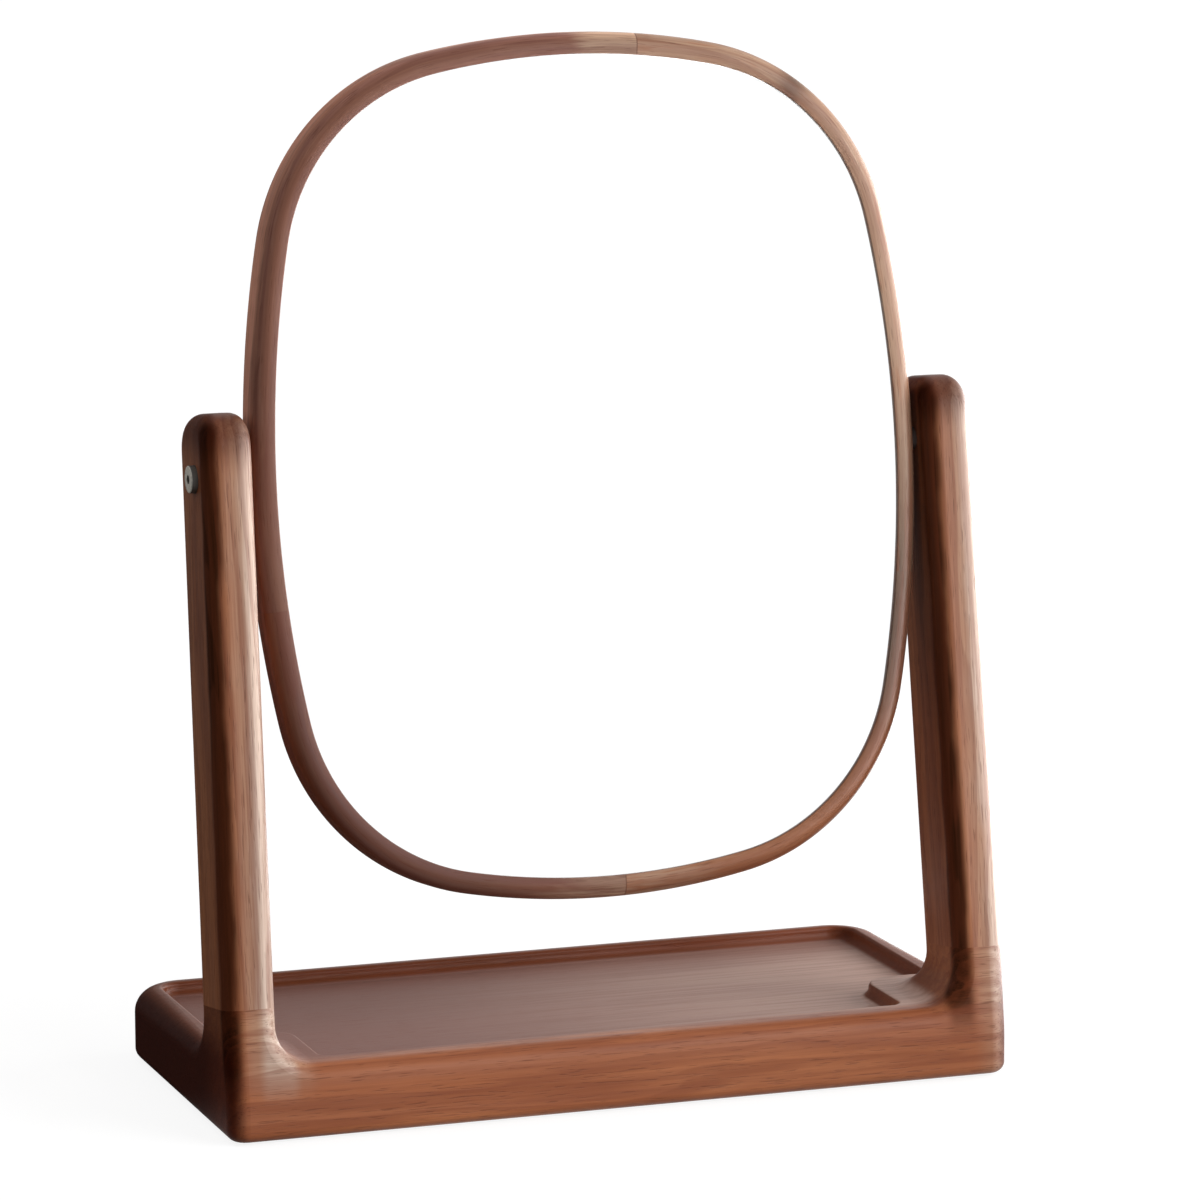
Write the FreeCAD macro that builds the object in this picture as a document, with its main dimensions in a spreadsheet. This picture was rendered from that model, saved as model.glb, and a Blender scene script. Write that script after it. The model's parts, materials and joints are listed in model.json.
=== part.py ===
import FreeCAD, Part
import math
import os

import Sketcher

# Tilting vanity mirror: a walnut tray base with two leaning posts that carry an oval mirror.
# Millimetres, +X to the right, +Y to the back, +Z up, origin on the table under the middle of the base.

DRIVING_SIZES = {
    # base
    "base_width": 300.0,
    "base_depth": 149.0,
    "base_height": 26.7,
    "rear_corner_radius": 20.0,
    "rim_width": 11.0,
    "rim_round": 9.0,
    "front_rim_width": 14.5,
    "outer_round": 7.0,
    "inner_round": 6.0,
    "bottom_round": 4.0,
    "tray_depth": 5.3,
    "tray_corner_radius": 8.0,
    "tray_floor_round": 3.5,
    "tray_edge_round": 1.5,
    "web_length": 19.0,
    "web_run_out": 2.0,
    "web_rear_radius": 12.0,
    "web_corner_radius": 4.0,
    "lean_start": 16.0,
    "lean_sweep_radius": 50.0,
    "foot_sweep_radius": 13.5,
    "straight_above_sweep": 0.6,
    # foot pads
    "foot_pad_diameter": 16.0,
    "foot_pad_thickness": 2.0,
    "foot_pad_recess": 1.2,
    "foot_pad_inset": 20.0,
    # posts
    "lean_angle": 8.45,
    "post_foot_width": 19.0,
    "post_depth": 36.8,
    "post_top_width": 18.5,
    "post_lean_in": 2.7,
    "post_above_pivot": 23.1,
    "post_top_round": 13.0,
    "post_dowel_diameter": 8.0,
    "post_dowel_depth": 20.0,
    "post_dowel_spacing": 18.0,
    # mirror frame and what it holds
    "mirror_tilt": 7.2,
    "side_gap": 1.4,
    "opening_height": 298.5,
    "side_radius_share": 1.474,
    "top_radius_share": 1.1134,
    "corner_radius_share": 0.311,
    "frame_face_width": 8.2,
    "frame_depth": 17.0,
    "frame_front_round": 5.5,
    "frame_rear_round": 3.5,
    "lip_thickness": 1.2,
    "rabbet_width": 2.5,
    "glass_thickness": 2.2,
    "foam_thickness": 0.8,
    "board_thickness": 9.2,
    "top_joint_offset": 24.0,
    "bottom_joint_offset": 6.0,
    "side_joint_drop": 45.0,
    "frame_dowel_diameter": 2.8,
    "frame_dowel_length": 14.0,
    "point_length": 10.0,
    "point_width": 6.0,
    "point_thickness": 0.5,
    "point_bite": 3.0,
    "point_end_share": 0.36,
    "point_side_share": 0.5,
    # pivots
    "pivot_height": 233.9,
    "pivot_above_middle": 3.35,
    "pivot_setback": 8.2,
    "pivot_ahead": 3.3,
    "bolt_diameter": 5.0,
    "bolt_head_diameter": 10.0,
    "bolt_head_thickness": 2.3,
    "bolt_head_round": 0.6,
    "bolt_grip": 9.0,
    "socket_width": 3.0,
    "socket_depth": 1.4,
    "head_washer_thickness": 0.8,
    "spot_face_depth": 0.8,
    "post_seat_depth": 0.3,
    "bush_diameter": 8.0,
    "friction_washer_diameter": 8.5,
    "frame_seat_depth": 0.4,
    "insert_diameter": 6.5,
    "insert_length": 12.0,
    # clearances
    "running_clearance": 0.05,
    "seat_clearance": 0.2,
    "glazing_clearance": 0.3,
    "hole_clearance": 0.1,
    "washer_play": 0.05,
    # every cut runs this far past the surface it leaves through
    "overrun": 10.0,
}

# Places and sizes that follow from the driving sizes.
DERIVED_SIZES = {
    "lean_sin": "sin(lean_angle * 1 deg)",
    "lean_cos": "cos(lean_angle * 1 deg)",
    "pad_stand": "foot_pad_thickness - foot_pad_recess",
    "rim_top": "pad_stand + base_height",
    "tray_floor": "rim_top - tray_depth",
    "half_width": "base_width / 2",
    "half_depth": "base_depth / 2",
    "post_inner": "half_width - post_foot_width",
    "lean_corner": "pad_stand + lean_start",
    "lean_tangent": "lean_sweep_radius * tan(lean_angle * 0.5 deg)",
    "rear_tangent": "foot_sweep_radius / tan(45 deg - lean_angle * 0.5 deg)",
    "stub_height": "rear_tangent * lean_cos + straight_above_sweep + post_depth / 2 * lean_sin",
    "front_run": "(rim_top + stub_height - lean_corner + post_depth / 2 * lean_sin) / lean_cos",
    "joint_front_y": "-half_depth + front_run * lean_sin",
    "joint_front_z": "lean_corner + front_run * lean_cos",
    "joint_y": "joint_front_y + post_depth / 2 * lean_cos",
    "joint_z": "joint_front_z - post_depth / 2 * lean_sin",
    "joint_rear_y": "joint_front_y + post_depth * lean_cos",
    "joint_rear_z": "joint_front_z - post_depth * lean_sin",
    "rear_foot_y": "joint_rear_y - (joint_rear_z - rim_top) * lean_sin / lean_cos",
    "block_top": "joint_front_z + overrun",
    "pivot_up": "(pivot_height - joint_z - pivot_ahead * lean_sin) / lean_cos",
    "pivot_y": "joint_y + pivot_up * lean_sin - pivot_ahead * lean_cos",
    "mirror_y": "pivot_y - pivot_above_middle * sin(mirror_tilt * 1 deg)",
    "mirror_z": "pivot_height - pivot_above_middle * cos(mirror_tilt * 1 deg)",
    "post_length": "pivot_up + post_above_pivot",
    "post_top_inner": "post_inner - post_lean_in",
    "post_top_outer": "post_top_inner + post_top_width",
    "inner_lean": "post_lean_in / post_length",
    "outer_lean": "(half_width - post_top_outer) / post_length",
    "post_seat_x": "post_inner - inner_lean * pivot_up + post_seat_depth",
    "spot_face_x": "half_width - outer_lean * pivot_up - spot_face_depth",
    "frame_front": "-pivot_setback",
    "glass_front": "frame_front + lip_thickness",
    "foam_front": "glass_front + glass_thickness",
    "board_front": "foam_front + foam_thickness",
    "board_rear": "board_front + board_thickness",
    "frame_outer_x": "post_inner - inner_lean * pivot_up - side_gap",
    "opening_width": "2 * (frame_outer_x - frame_face_width)",
    "side_radius": "side_radius_share * opening_height",
    "top_radius": "top_radius_share * opening_width",
    "corner_radius": "corner_radius_share * opening_width",
    "point_top_offset": "point_end_share * opening_width / 2",
    "point_side_offset": "point_side_share * opening_height / 2",
    "frame_outer_z": "opening_height / 2 + frame_face_width",
    "frame_wall": "frame_face_width - rabbet_width",
    "wall_middle": "rabbet_width + frame_wall / 2",
    "wall_depth_middle": "frame_front + (lip_thickness + frame_depth) / 2",
    "frame_seat_x": "frame_outer_x - frame_seat_depth",
    "insert_inner_x": "frame_seat_x - insert_length",
    "bolt_tip_x": "frame_seat_x - bolt_grip",
    "bolt_seat_x": "spot_face_x + head_washer_thickness",
    "bolt_end_x": "bolt_seat_x + bolt_head_thickness",
    "foot_pad_x": "half_width - foot_pad_inset",
    "foot_pad_y": "half_depth - foot_pad_inset",
}

SIDES = {"left": -1, "right": 1}
MIRROR_FRAME = {"y": "sizes.mirror_y", "z": "sizes.mirror_z", "angle": "sizes.mirror_tilt"}
PIVOT_FRAME = {"y": "sizes.pivot_y", "z": "sizes.pivot_height", "angle": "sizes.mirror_tilt"}
POST_FRAME = {"y": "sizes.joint_y", "z": "sizes.joint_z", "angle": "sizes.lean_angle"}
BACKWARD_TILT_AXIS = FreeCAD.Vector(-1, 0, 0)
START, END, CENTRE = range(1, 4)
POINT_TOLERANCE = 1e-4

doc = FreeCAD.newDocument("vanity_mirror")
sheet = doc.addObject("Spreadsheet::Sheet", "sizes")
nodes = []


def fill_sheet():
    """Write each driving size as a plain number and each derived size as a formula, under its alias."""
    formulas = {alias: "=" + formula for alias, formula in DERIVED_SIZES.items()}
    numbers = {alias: str(number) for alias, number in DRIVING_SIZES.items()}
    for row, (alias, content) in enumerate({**numbers, **formulas}.items(), start=1):
        sheet.set(f"A{row}", alias)
        sheet.set(f"B{row}", content)
        sheet.setAlias(f"B{row}", alias)
    doc.recompute()


def value(expression):
    """The present number of an expression in the sheet's aliases."""
    result = sheet.evalExpression(expression)
    return float(getattr(result, "Value", result))


def bind(thing, **expressions):
    """Tie properties of an object to expressions; a double underscore stands for a dot."""
    for name, expression in expressions.items():
        thing.setExpression(name.replace("__", "."), expression)


def seat(thing, place):
    """Put a piece in a frame that stands at a point of the middle plane and tilts backwards."""
    thing.Placement = FreeCAD.Placement(FreeCAD.Vector(), FreeCAD.Rotation(BACKWARD_TILT_AXIS, 1))
    bind(thing, Placement__Base__y=place["y"], Placement__Base__z=place["z"],
         Placement__Rotation__Angle=place["angle"])


def node(thing, label, place=None):
    """Enter a finished piece in the list of pieces, under its own label."""
    thing.Label = label
    if place:
        seat(thing, place)
    nodes.append(thing)
    return thing


def sketch_on(body, name, role, offset="0"):
    """A sketch on one of the body's own origin planes, moved along that plane's normal."""
    plane = next(item for item in body.Origin.OriginFeatures if item.Role == role)
    sketch = body.newObject("Sketcher::SketchObject", name)
    sketch.AttachmentSupport = [(plane, "")]
    sketch.MapMode = "FlatFace"
    bind(sketch, AttachmentOffset__Base__z=offset)
    return sketch


def dimension(sketch, kind, geometry, point, expression):
    """A named dimension of a sketch that follows an expression."""
    if kind == "Radius":
        constraint = Sketcher.Constraint(kind, geometry, value(expression))
    else:
        constraint = Sketcher.Constraint(kind, geometry, point, value(expression))
    index = sketch.addConstraint(constraint)
    sketch.renameConstraint(index, f"size_{index}")
    bind(sketch, **{f"Constraints__size_{index}": expression})


def arc_between(start, end, radius):
    """The arc under a half turn from start to end; a positive radius turns left, a negative one right."""
    chord = end - start
    middle = (start + end) / 2
    rise = math.sqrt(max(radius ** 2 - (chord.Length / 2) ** 2, 0.0))
    left = FreeCAD.Vector(-chord.y, chord.x, 0).normalize()
    centre = middle + left * math.copysign(rise, radius)
    first, last = (start, end) if radius > 0 else (end, start)
    circle = Part.Circle(centre, FreeCAD.Vector(0, 0, 1), abs(radius))
    return Part.ArcOfCircle(circle, circle.parameter(first), circle.parameter(last))


def draw_outline(sketch, corners):
    """A closed outline; each corner is (x, y), or (x, y, radius) where an arc leads to the next corner."""
    points = [FreeCAD.Vector(value(corner[0]), value(corner[1]), 0) for corner in corners]
    ends = []
    for index, corner in enumerate(corners):
        start, end = points[index], points[(index + 1) % len(points)]
        if len(corner) == 2:
            ends.append((sketch.addGeometry(Part.LineSegment(start, end), False), START, END))
            continue
        radius = value(corner[2])
        order = (START, END) if radius > 0 else (END, START)
        ends.append((sketch.addGeometry(arc_between(start, end, radius), False), *order))
        dimension(sketch, "Radius", ends[-1][0], None, f"abs({corner[2]})")
    for index, corner in enumerate(corners):
        geometry, first, last = ends[index]
        following = ends[(index + 1) % len(ends)]
        sketch.addConstraint(Sketcher.Constraint("Coincident", geometry, last, following[0], following[1]))
        dimension(sketch, "DistanceX", geometry, first, corner[0])
        dimension(sketch, "DistanceY", geometry, first, corner[1])


def draw_circle(sketch, x, y, diameter):
    """A circle of a given diameter about a given point."""
    centre = FreeCAD.Vector(value(x), value(y), 0)
    circle = Part.Circle(centre, FreeCAD.Vector(0, 0, 1), value(diameter) / 2)
    geometry = sketch.addGeometry(circle, False)
    dimension(sketch, "Radius", geometry, None, f"({diameter}) / 2")
    dimension(sketch, "DistanceX", geometry, CENTRE, x)
    dimension(sketch, "DistanceY", geometry, CENTRE, y)


def pad(body, sketch, length, backwards=False, both_ways=False):
    """Raise a sketch into a solid."""
    feature = body.newObject("PartDesign::Pad", sketch.Name + "_pad")
    feature.Profile = sketch
    feature.Reversed = backwards
    feature.Midplane = both_ways
    bind(feature, Length=length)
    doc.recompute()
    return feature


def pocket(body, sketch, length=None, backwards=False, both_ways=False):
    """Cut a sketch out of the solid, right through where no length is given."""
    before = body.Shape.Volume
    feature = body.newObject("PartDesign::Pocket", sketch.Name + "_pocket")
    feature.Profile = sketch
    feature.Reversed = backwards
    feature.Midplane = both_ways
    if length is None:
        feature.Type = "ThroughAll"
    else:
        bind(feature, Length=length)
    doc.recompute()
    if body.Shape.Volume >= before:
        raise RuntimeError(f"{feature.Name} cuts nothing")
    return feature


def revolve(body, sketch):
    """Turn a sketch about its own horizontal axis."""
    feature = body.newObject("PartDesign::Revolution", sketch.Name + "_turned")
    feature.Profile = sketch
    feature.ReferenceAxis = (sketch, ["H_Axis"])
    doc.recompute()
    return feature


def round_edges(body, name, radius, wanted):
    """Round every edge of the body that the test accepts; the test gets the edge and its middle point."""
    base = body.Tip
    names = []
    for index, edge in enumerate(base.Shape.Edges, start=1):
        middle = edge.valueAt((edge.FirstParameter + edge.LastParameter) / 2)
        if wanted(edge, middle):
            names.append(f"Edge{index}")
    if not names:
        raise RuntimeError(f"{name} finds no edge to round")
    feature = body.newObject("PartDesign::Fillet", name)
    feature.Base = (base, names)
    bind(feature, Radius=radius)
    doc.recompute()
    return feature


def near(first, second):
    """Whether two lengths are the same."""
    return abs(first - second) < POINT_TOLERANCE


def spread(edge, axis):
    """How far an edge reaches along an axis."""
    box = edge.BoundBox
    return getattr(box, axis + "Length")


def front_face_y(height):
    """Where the front of the base lies at a height: upright, then a sweep, then the lean of the posts."""
    start = value("sizes.lean_corner - sizes.lean_tangent")
    end = value("sizes.lean_corner + sizes.lean_tangent * sizes.lean_cos")
    front = -value("sizes.half_depth")
    if height <= start:
        return front
    if height >= end:
        return front + (height - value("sizes.lean_corner")) * value("sizes.lean_sin / sizes.lean_cos")
    radius = value("sizes.lean_sweep_radius")
    return front + radius - math.sqrt(radius ** 2 - (height - start) ** 2)


def rear_face_y(height):
    """Where the rear of a stub lies at a height above the rim, before it sweeps out."""
    slope = value("sizes.lean_sin / sizes.lean_cos")
    return value("sizes.rear_foot_y") + (height - value("sizes.rim_top")) * slope


def make_base():
    """The tray base: a block cut to a rim, with a stub left standing at each front corner for a post."""
    body = doc.addObject("PartDesign::Body", "base_block")
    draw_block(body)
    cut_between_stubs(body)
    cut_side_profile(body)
    sweep_stubs_into_rim(body)
    round_base(body)
    cut_tray(body)
    cut_foot_pad_recesses(body)
    cut_stub_dowel_holes(body)
    node(round_rim(body), "base_tray")


def draw_block(body):
    """The block in plan, with round rear corners."""
    plan = sketch_on(body, "base_plan", "XY_Plane", "sizes.pad_stand")
    draw_outline(plan, [
        ("-sizes.half_width", "-sizes.half_depth"),
        ("sizes.half_width", "-sizes.half_depth"),
        ("sizes.half_width", "sizes.half_depth - sizes.rear_corner_radius", "sizes.rear_corner_radius"),
        ("sizes.half_width - sizes.rear_corner_radius", "sizes.half_depth"),
        ("-sizes.half_width + sizes.rear_corner_radius", "sizes.half_depth", "sizes.rear_corner_radius"),
        ("-sizes.half_width", "sizes.half_depth - sizes.rear_corner_radius"),
    ])
    pad(body, plan, "sizes.block_top - sizes.pad_stand")


def cut_between_stubs(body):
    """Take away what stands above the rim between the stubs."""
    front = sketch_on(body, "base_front", "XZ_Plane")
    top = "sizes.block_top + sizes.overrun"
    draw_outline(front, [
        ("-sizes.post_inner", top),
        ("-sizes.post_inner", "sizes.rim_top"),
        ("sizes.post_inner", "sizes.rim_top"),
        ("sizes.post_inner", top),
    ])
    pocket(body, front, both_ways=True)


def cut_side_profile(body):
    """Cut the side outline: the leaning front, the square joint for the posts and the leaning rear."""
    side = sketch_on(body, "base_side", "YZ_Plane")
    ahead = "-sizes.half_depth - sizes.overrun"
    behind = "sizes.half_depth + sizes.overrun"
    top = "sizes.block_top + sizes.overrun"
    draw_outline(side, [
        (ahead, "sizes.lean_corner - sizes.lean_tangent"),
        ("-sizes.half_depth", "sizes.lean_corner - sizes.lean_tangent", "-sizes.lean_sweep_radius"),
        ("-sizes.half_depth + sizes.lean_tangent * sizes.lean_sin",
         "sizes.lean_corner + sizes.lean_tangent * sizes.lean_cos"),
        ("sizes.joint_front_y", "sizes.joint_front_z"),
        ("sizes.joint_rear_y", "sizes.joint_rear_z"),
        ("sizes.rear_foot_y", "sizes.rim_top"),
        (behind, "sizes.rim_top"),
        (behind, top),
        (ahead, top),
    ])
    pocket(body, side, both_ways=True)


def sweep_stubs_into_rim(body):
    """Round each stub's inner rear edge, then sweep its inner and rear faces out into the rim."""
    half_width = value("sizes.half_width")
    rim_top = value("sizes.rim_top")
    inner = value("sizes.post_inner")

    def inner_rear(edge, point):
        return near(abs(point.x), inner) and near(point.y, rear_face_y(point.z))

    def stub_foot(edge, point):
        if not near(edge.BoundBox.ZMin, rim_top) or not near(edge.BoundBox.ZMax, rim_top):
            return False
        beside = inner - POINT_TOLERANCE < abs(point.x) < half_width - POINT_TOLERANCE
        return beside and point.y < value("sizes.rear_foot_y") + POINT_TOLERANCE

    round_edges(body, "stub_rear_rounds", "sizes.inner_round", inner_rear)
    round_edges(body, "stub_sweeps", "sizes.foot_sweep_radius", stub_foot)


def round_base(body):
    """Round the outer edges of the block and the stubs."""
    half_width = value("sizes.half_width")
    half_depth = value("sizes.half_depth")
    rim_top = value("sizes.rim_top")
    stand = value("sizes.pad_stand")
    inner = value("sizes.post_inner")

    def on_front(point):
        return abs(point.y - front_face_y(point.z)) < POINT_TOLERANCE * half_depth

    def on_outer_side(point):
        return near(abs(point.x), half_width)

    def outer_front(edge, point):
        upright = not near(edge.BoundBox.ZMin, edge.BoundBox.ZMax)
        return on_outer_side(point) and on_front(point) and upright

    def inner_front(edge, point):
        if not on_front(point) or abs(point.x) > inner + POINT_TOLERANCE:
            return False
        return point.z > rim_top - POINT_TOLERANCE

    def bottom(edge, point):
        return near(edge.BoundBox.ZMax, stand)

    round_edges(body, "front_corner_rounds", "sizes.outer_round", outer_front)
    round_edges(body, "front_rim_round", "sizes.inner_round", inner_front)
    round_edges(body, "bottom_rounds", "sizes.bottom_round", bottom)


def round_rim(body):
    """Round the rim's outer edge widely, narrowing up each sweep to the round of the stubs and posts."""
    half_width = value("sizes.half_width")
    rear_edge = value("sizes.half_depth - sizes.rear_corner_radius")
    rim_top = value("sizes.rim_top")
    edges = []
    for index, edge in enumerate(body.Shape.Edges, start=1):
        run = edge.LastParameter - edge.FirstParameter
        first, middle, last = (edge.valueAt(edge.FirstParameter + share * run) for share in (0.0, 0.5, 1.0))
        behind_post = middle.y > value("sizes.rear_foot_y") - POINT_TOLERANCE
        if not behind_post or middle.z < rim_top - POINT_TOLERANCE:
            continue
        on_rear = middle.y > rear_edge and near(middle.z, rim_top)
        if near(abs(middle.x), half_width) or on_rear:
            radii = [value("sizes.rim_round" if near(end.z, rim_top) else "sizes.outer_round")
                     for end in (first, last)]
            edges.append((index, *radii))
    rounded = doc.addObject("Part::Fillet", "base_rounded")
    rounded.Base = body
    rounded.Edges = edges
    doc.recompute()
    return rounded


def cut_tray(body):
    """Sink the tray inside the rim; it steps in around the web that carries each stub."""
    plan = sketch_on(body, "tray_plan", "XY_Plane", "sizes.block_top")
    web_x = "(sizes.post_inner - sizes.web_length)"
    side_x = "(sizes.half_width - sizes.rim_width)"
    front_y = "(-sizes.half_depth + sizes.front_rim_width)"
    web_y = "(sizes.rear_foot_y + sizes.rear_tangent + sizes.web_run_out)"
    rear_y = "(sizes.half_depth - sizes.rim_width)"
    turn = "sizes.tray_corner_radius"
    small = "sizes.web_corner_radius"
    wide = "sizes.web_rear_radius"
    draw_outline(plan, [
        (f"-{web_x} + {small}", front_y),
        (f"{web_x} - {small}", front_y, small),
        (web_x, f"{front_y} + {small}"),
        (web_x, f"{web_y} - {wide}", f"-{wide}"),
        (f"{web_x} + {wide}", web_y),
        (f"{side_x} - {small}", web_y, small),
        (side_x, f"{web_y} + {small}"),
        (side_x, f"{rear_y} - {turn}", turn),
        (f"{side_x} - {turn}", rear_y),
        (f"-{side_x} + {turn}", rear_y, turn),
        (f"-{side_x}", f"{rear_y} - {turn}"),
        (f"-{side_x}", f"{web_y} + {small}", small),
        (f"-{side_x} + {small}", web_y),
        (f"-{web_x} - {wide}", web_y, f"-{wide}"),
        (f"-{web_x}", f"{web_y} - {wide}"),
        (f"-{web_x}", f"{front_y} + {small}", small),
    ])
    pocket(body, plan, "sizes.block_top - sizes.tray_floor")
    floor = value("sizes.tray_floor")
    rim_top = value("sizes.rim_top")
    inside = value("sizes.half_width - sizes.rim_width")

    def level_at(edge, height):
        return near(edge.BoundBox.ZMin, height) and near(edge.BoundBox.ZMax, height)

    def tray_edge(edge, point):
        if not level_at(edge, rim_top) or abs(point.x) > inside + POINT_TOLERANCE:
            return False
        faces = body.Tip.Shape.ancestorsOfType(edge, Part.Face)
        return any(face.BoundBox.ZMin < rim_top - POINT_TOLERANCE and
                   face.BoundBox.ZMin > floor - POINT_TOLERANCE for face in faces)

    round_edges(body, "tray_edge_rounds", "sizes.tray_edge_round", tray_edge)
    round_edges(body, "tray_floor_rounds", "sizes.tray_floor_round",
                lambda edge, point: level_at(edge, floor))


def cut_foot_pad_recesses(body):
    """Shallow round recesses under the corners for the foot pads."""
    plan = sketch_on(body, "foot_pad_plan", "XY_Plane", "sizes.pad_stand")
    for across in SIDES.values():
        for along in SIDES.values():
            draw_circle(plan, f"{across} * sizes.foot_pad_x", f"{along} * sizes.foot_pad_y",
                        "sizes.foot_pad_diameter + 2 * sizes.hole_clearance")
    pocket(body, plan, "sizes.foot_pad_recess", backwards=True)


def cut_stub_dowel_holes(body):
    """Two dowel holes square into the joint face of each stub."""
    face = sketch_on(body, "stub_joint_face", "XY_Plane", POST_FRAME["z"])
    offset = FreeCAD.Placement(FreeCAD.Vector(), FreeCAD.Rotation(BACKWARD_TILT_AXIS, 1))
    face.AttachmentOffset = offset
    bind(face, AttachmentOffset__Base__y=POST_FRAME["y"], AttachmentOffset__Base__z=POST_FRAME["z"],
         AttachmentOffset__Rotation__Angle=POST_FRAME["angle"])
    for across in SIDES.values():
        draw_dowel_circles(face, across)
    pocket(body, face, "sizes.post_dowel_depth + sizes.hole_clearance")


def draw_dowel_circles(sketch, across):
    """The circles of one post's two dowel holes, in the middle of the post's foot."""
    for along in SIDES.values():
        draw_circle(sketch, f"{across} * (sizes.post_inner + sizes.post_foot_width / 2)",
                    f"{along} * sizes.post_dowel_spacing / 2",
                    "sizes.post_dowel_diameter + 2 * sizes.hole_clearance")


def make_post(side, across):
    """A leaning post: both its side faces lean towards the mirror, and it carries the pivot bush."""
    body = doc.addObject("PartDesign::Body", f"{side}_post")
    front = sketch_on(body, f"{side}_post_front", "XZ_Plane")
    draw_outline(front, [
        (f"{across} * sizes.post_inner", "0"),
        (f"{across} * sizes.half_width", "0"),
        (f"{across} * sizes.post_top_outer", "sizes.post_length"),
        (f"{across} * sizes.post_top_inner", "sizes.post_length"),
    ])
    pad(body, front, "sizes.post_depth", both_ways=True)
    top = value("sizes.post_length")
    half = value("sizes.post_depth / 2")

    def above_foot(edge):
        return edge.BoundBox.ZMax > POINT_TOLERANCE

    def on_inner_face(edge, point):
        inner = value("sizes.post_inner") - value("sizes.inner_lean") * point.z
        return above_foot(edge) and near(abs(point.x), inner)

    def on_outer_face(edge, point):
        outer = value("sizes.half_width") - value("sizes.outer_lean") * point.z
        return above_foot(edge) and near(abs(point.x), outer)

    round_edges(body, f"{side}_post_top_rounds", "sizes.post_top_round",
                lambda edge, point: near(point.z, top) and near(abs(point.y), half))
    round_edges(body, f"{side}_post_inner_rounds", "sizes.inner_round", on_inner_face)
    round_edges(body, f"{side}_post_outer_rounds", "sizes.outer_round", on_outer_face)
    cut_post_bores(body, side, across)
    node(body, f"{side}_post", POST_FRAME)


def cut_post_bores(body, side, across):
    """The bush bore, the flats that the head washer and friction washer bear on, and the dowel holes."""
    outward = across > 0
    middle = ("-sizes.pivot_ahead", "sizes.pivot_up")
    bore = sketch_on(body, f"{side}_bush_bore", "YZ_Plane")
    draw_circle(bore, *middle, "sizes.bush_diameter + 2 * sizes.hole_clearance")
    pocket(body, bore, both_ways=True)
    spot = sketch_on(body, f"{side}_spot_face", "YZ_Plane", f"{across} * sizes.spot_face_x")
    draw_circle(spot, *middle, "sizes.bolt_head_diameter + 2 * sizes.seat_clearance")
    pocket(body, spot, backwards=outward)
    flat = sketch_on(body, f"{side}_washer_flat", "YZ_Plane", f"{across} * sizes.post_seat_x")
    draw_circle(flat, *middle, "sizes.friction_washer_diameter + 2 * sizes.seat_clearance")
    pocket(body, flat, backwards=not outward)
    holes = sketch_on(body, f"{side}_dowel_holes", "XY_Plane")
    draw_dowel_circles(holes, across)
    pocket(body, holes, "sizes.post_dowel_depth + sizes.hole_clearance", backwards=True)


def make_rod(name, diameter, length):
    """A plain round rod along its own axis."""
    rod = doc.addObject("Part::Cylinder", name)
    bind(rod, Radius=f"({diameter}) / 2", Height=length)
    return rod


def make_post_dowels(side, across):
    """The two wooden dowels that lock a post to its stub."""
    rods = []
    for index, along in enumerate(SIDES.values(), start=1):
        rod = make_rod(f"{side}_post_dowel_{index}", "sizes.post_dowel_diameter",
                       "2 * sizes.post_dowel_depth")
        bind(rod, Placement__Base__x=f"{across} * (sizes.post_inner + sizes.post_foot_width / 2)",
             Placement__Base__y=f"{along} * sizes.post_dowel_spacing / 2",
             Placement__Base__z="-sizes.post_dowel_depth")
        rods.append(rod)
    node(gather(f"{side}_post_dowel_pair", rods), f"{side}_post_dowels", POST_FRAME)


def gather(name, things):
    """Like pieces as one group of separate solids."""
    group = doc.addObject("Part::Compound", name)
    group.Links = things
    return group


def make_foot_pads():
    """Four felt pads let into the underside."""
    for end, along in (("front", -1), ("rear", 1)):
        for side, across in SIDES.items():
            rod = make_rod(f"{end}_{side}_pad_disc", "sizes.foot_pad_diameter",
                           "sizes.foot_pad_thickness")
            bind(rod, Placement__Base__x=f"{across} * sizes.foot_pad_x",
                 Placement__Base__y=f"{along} * sizes.foot_pad_y")
            node(rod, f"{end}_{side}_foot_pad")


def oval_corner(offset):
    """Where the side arc and the top arc of the mirror outline, both moved out by an offset, cross."""
    side = value(f"sizes.side_radius + {offset}")
    top = value(f"sizes.top_radius + {offset}")
    first = FreeCAD.Vector(value("sizes.opening_width / 2 - sizes.side_radius"), 0, 0)
    second = FreeCAD.Vector(0, value("sizes.opening_height / 2 - sizes.top_radius"), 0)
    reach = (second - first).Length
    along = (side ** 2 - top ** 2 + reach ** 2) / (2 * reach)
    rise = math.sqrt(side ** 2 - along ** 2)
    direction = (second - first).normalize()
    square = FreeCAD.Vector(-direction.y, direction.x, 0)
    crossings = [first + direction * along + square * rise * sign for sign in SIDES.values()]
    return max(crossings, key=lambda point: point.x + point.y)


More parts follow.
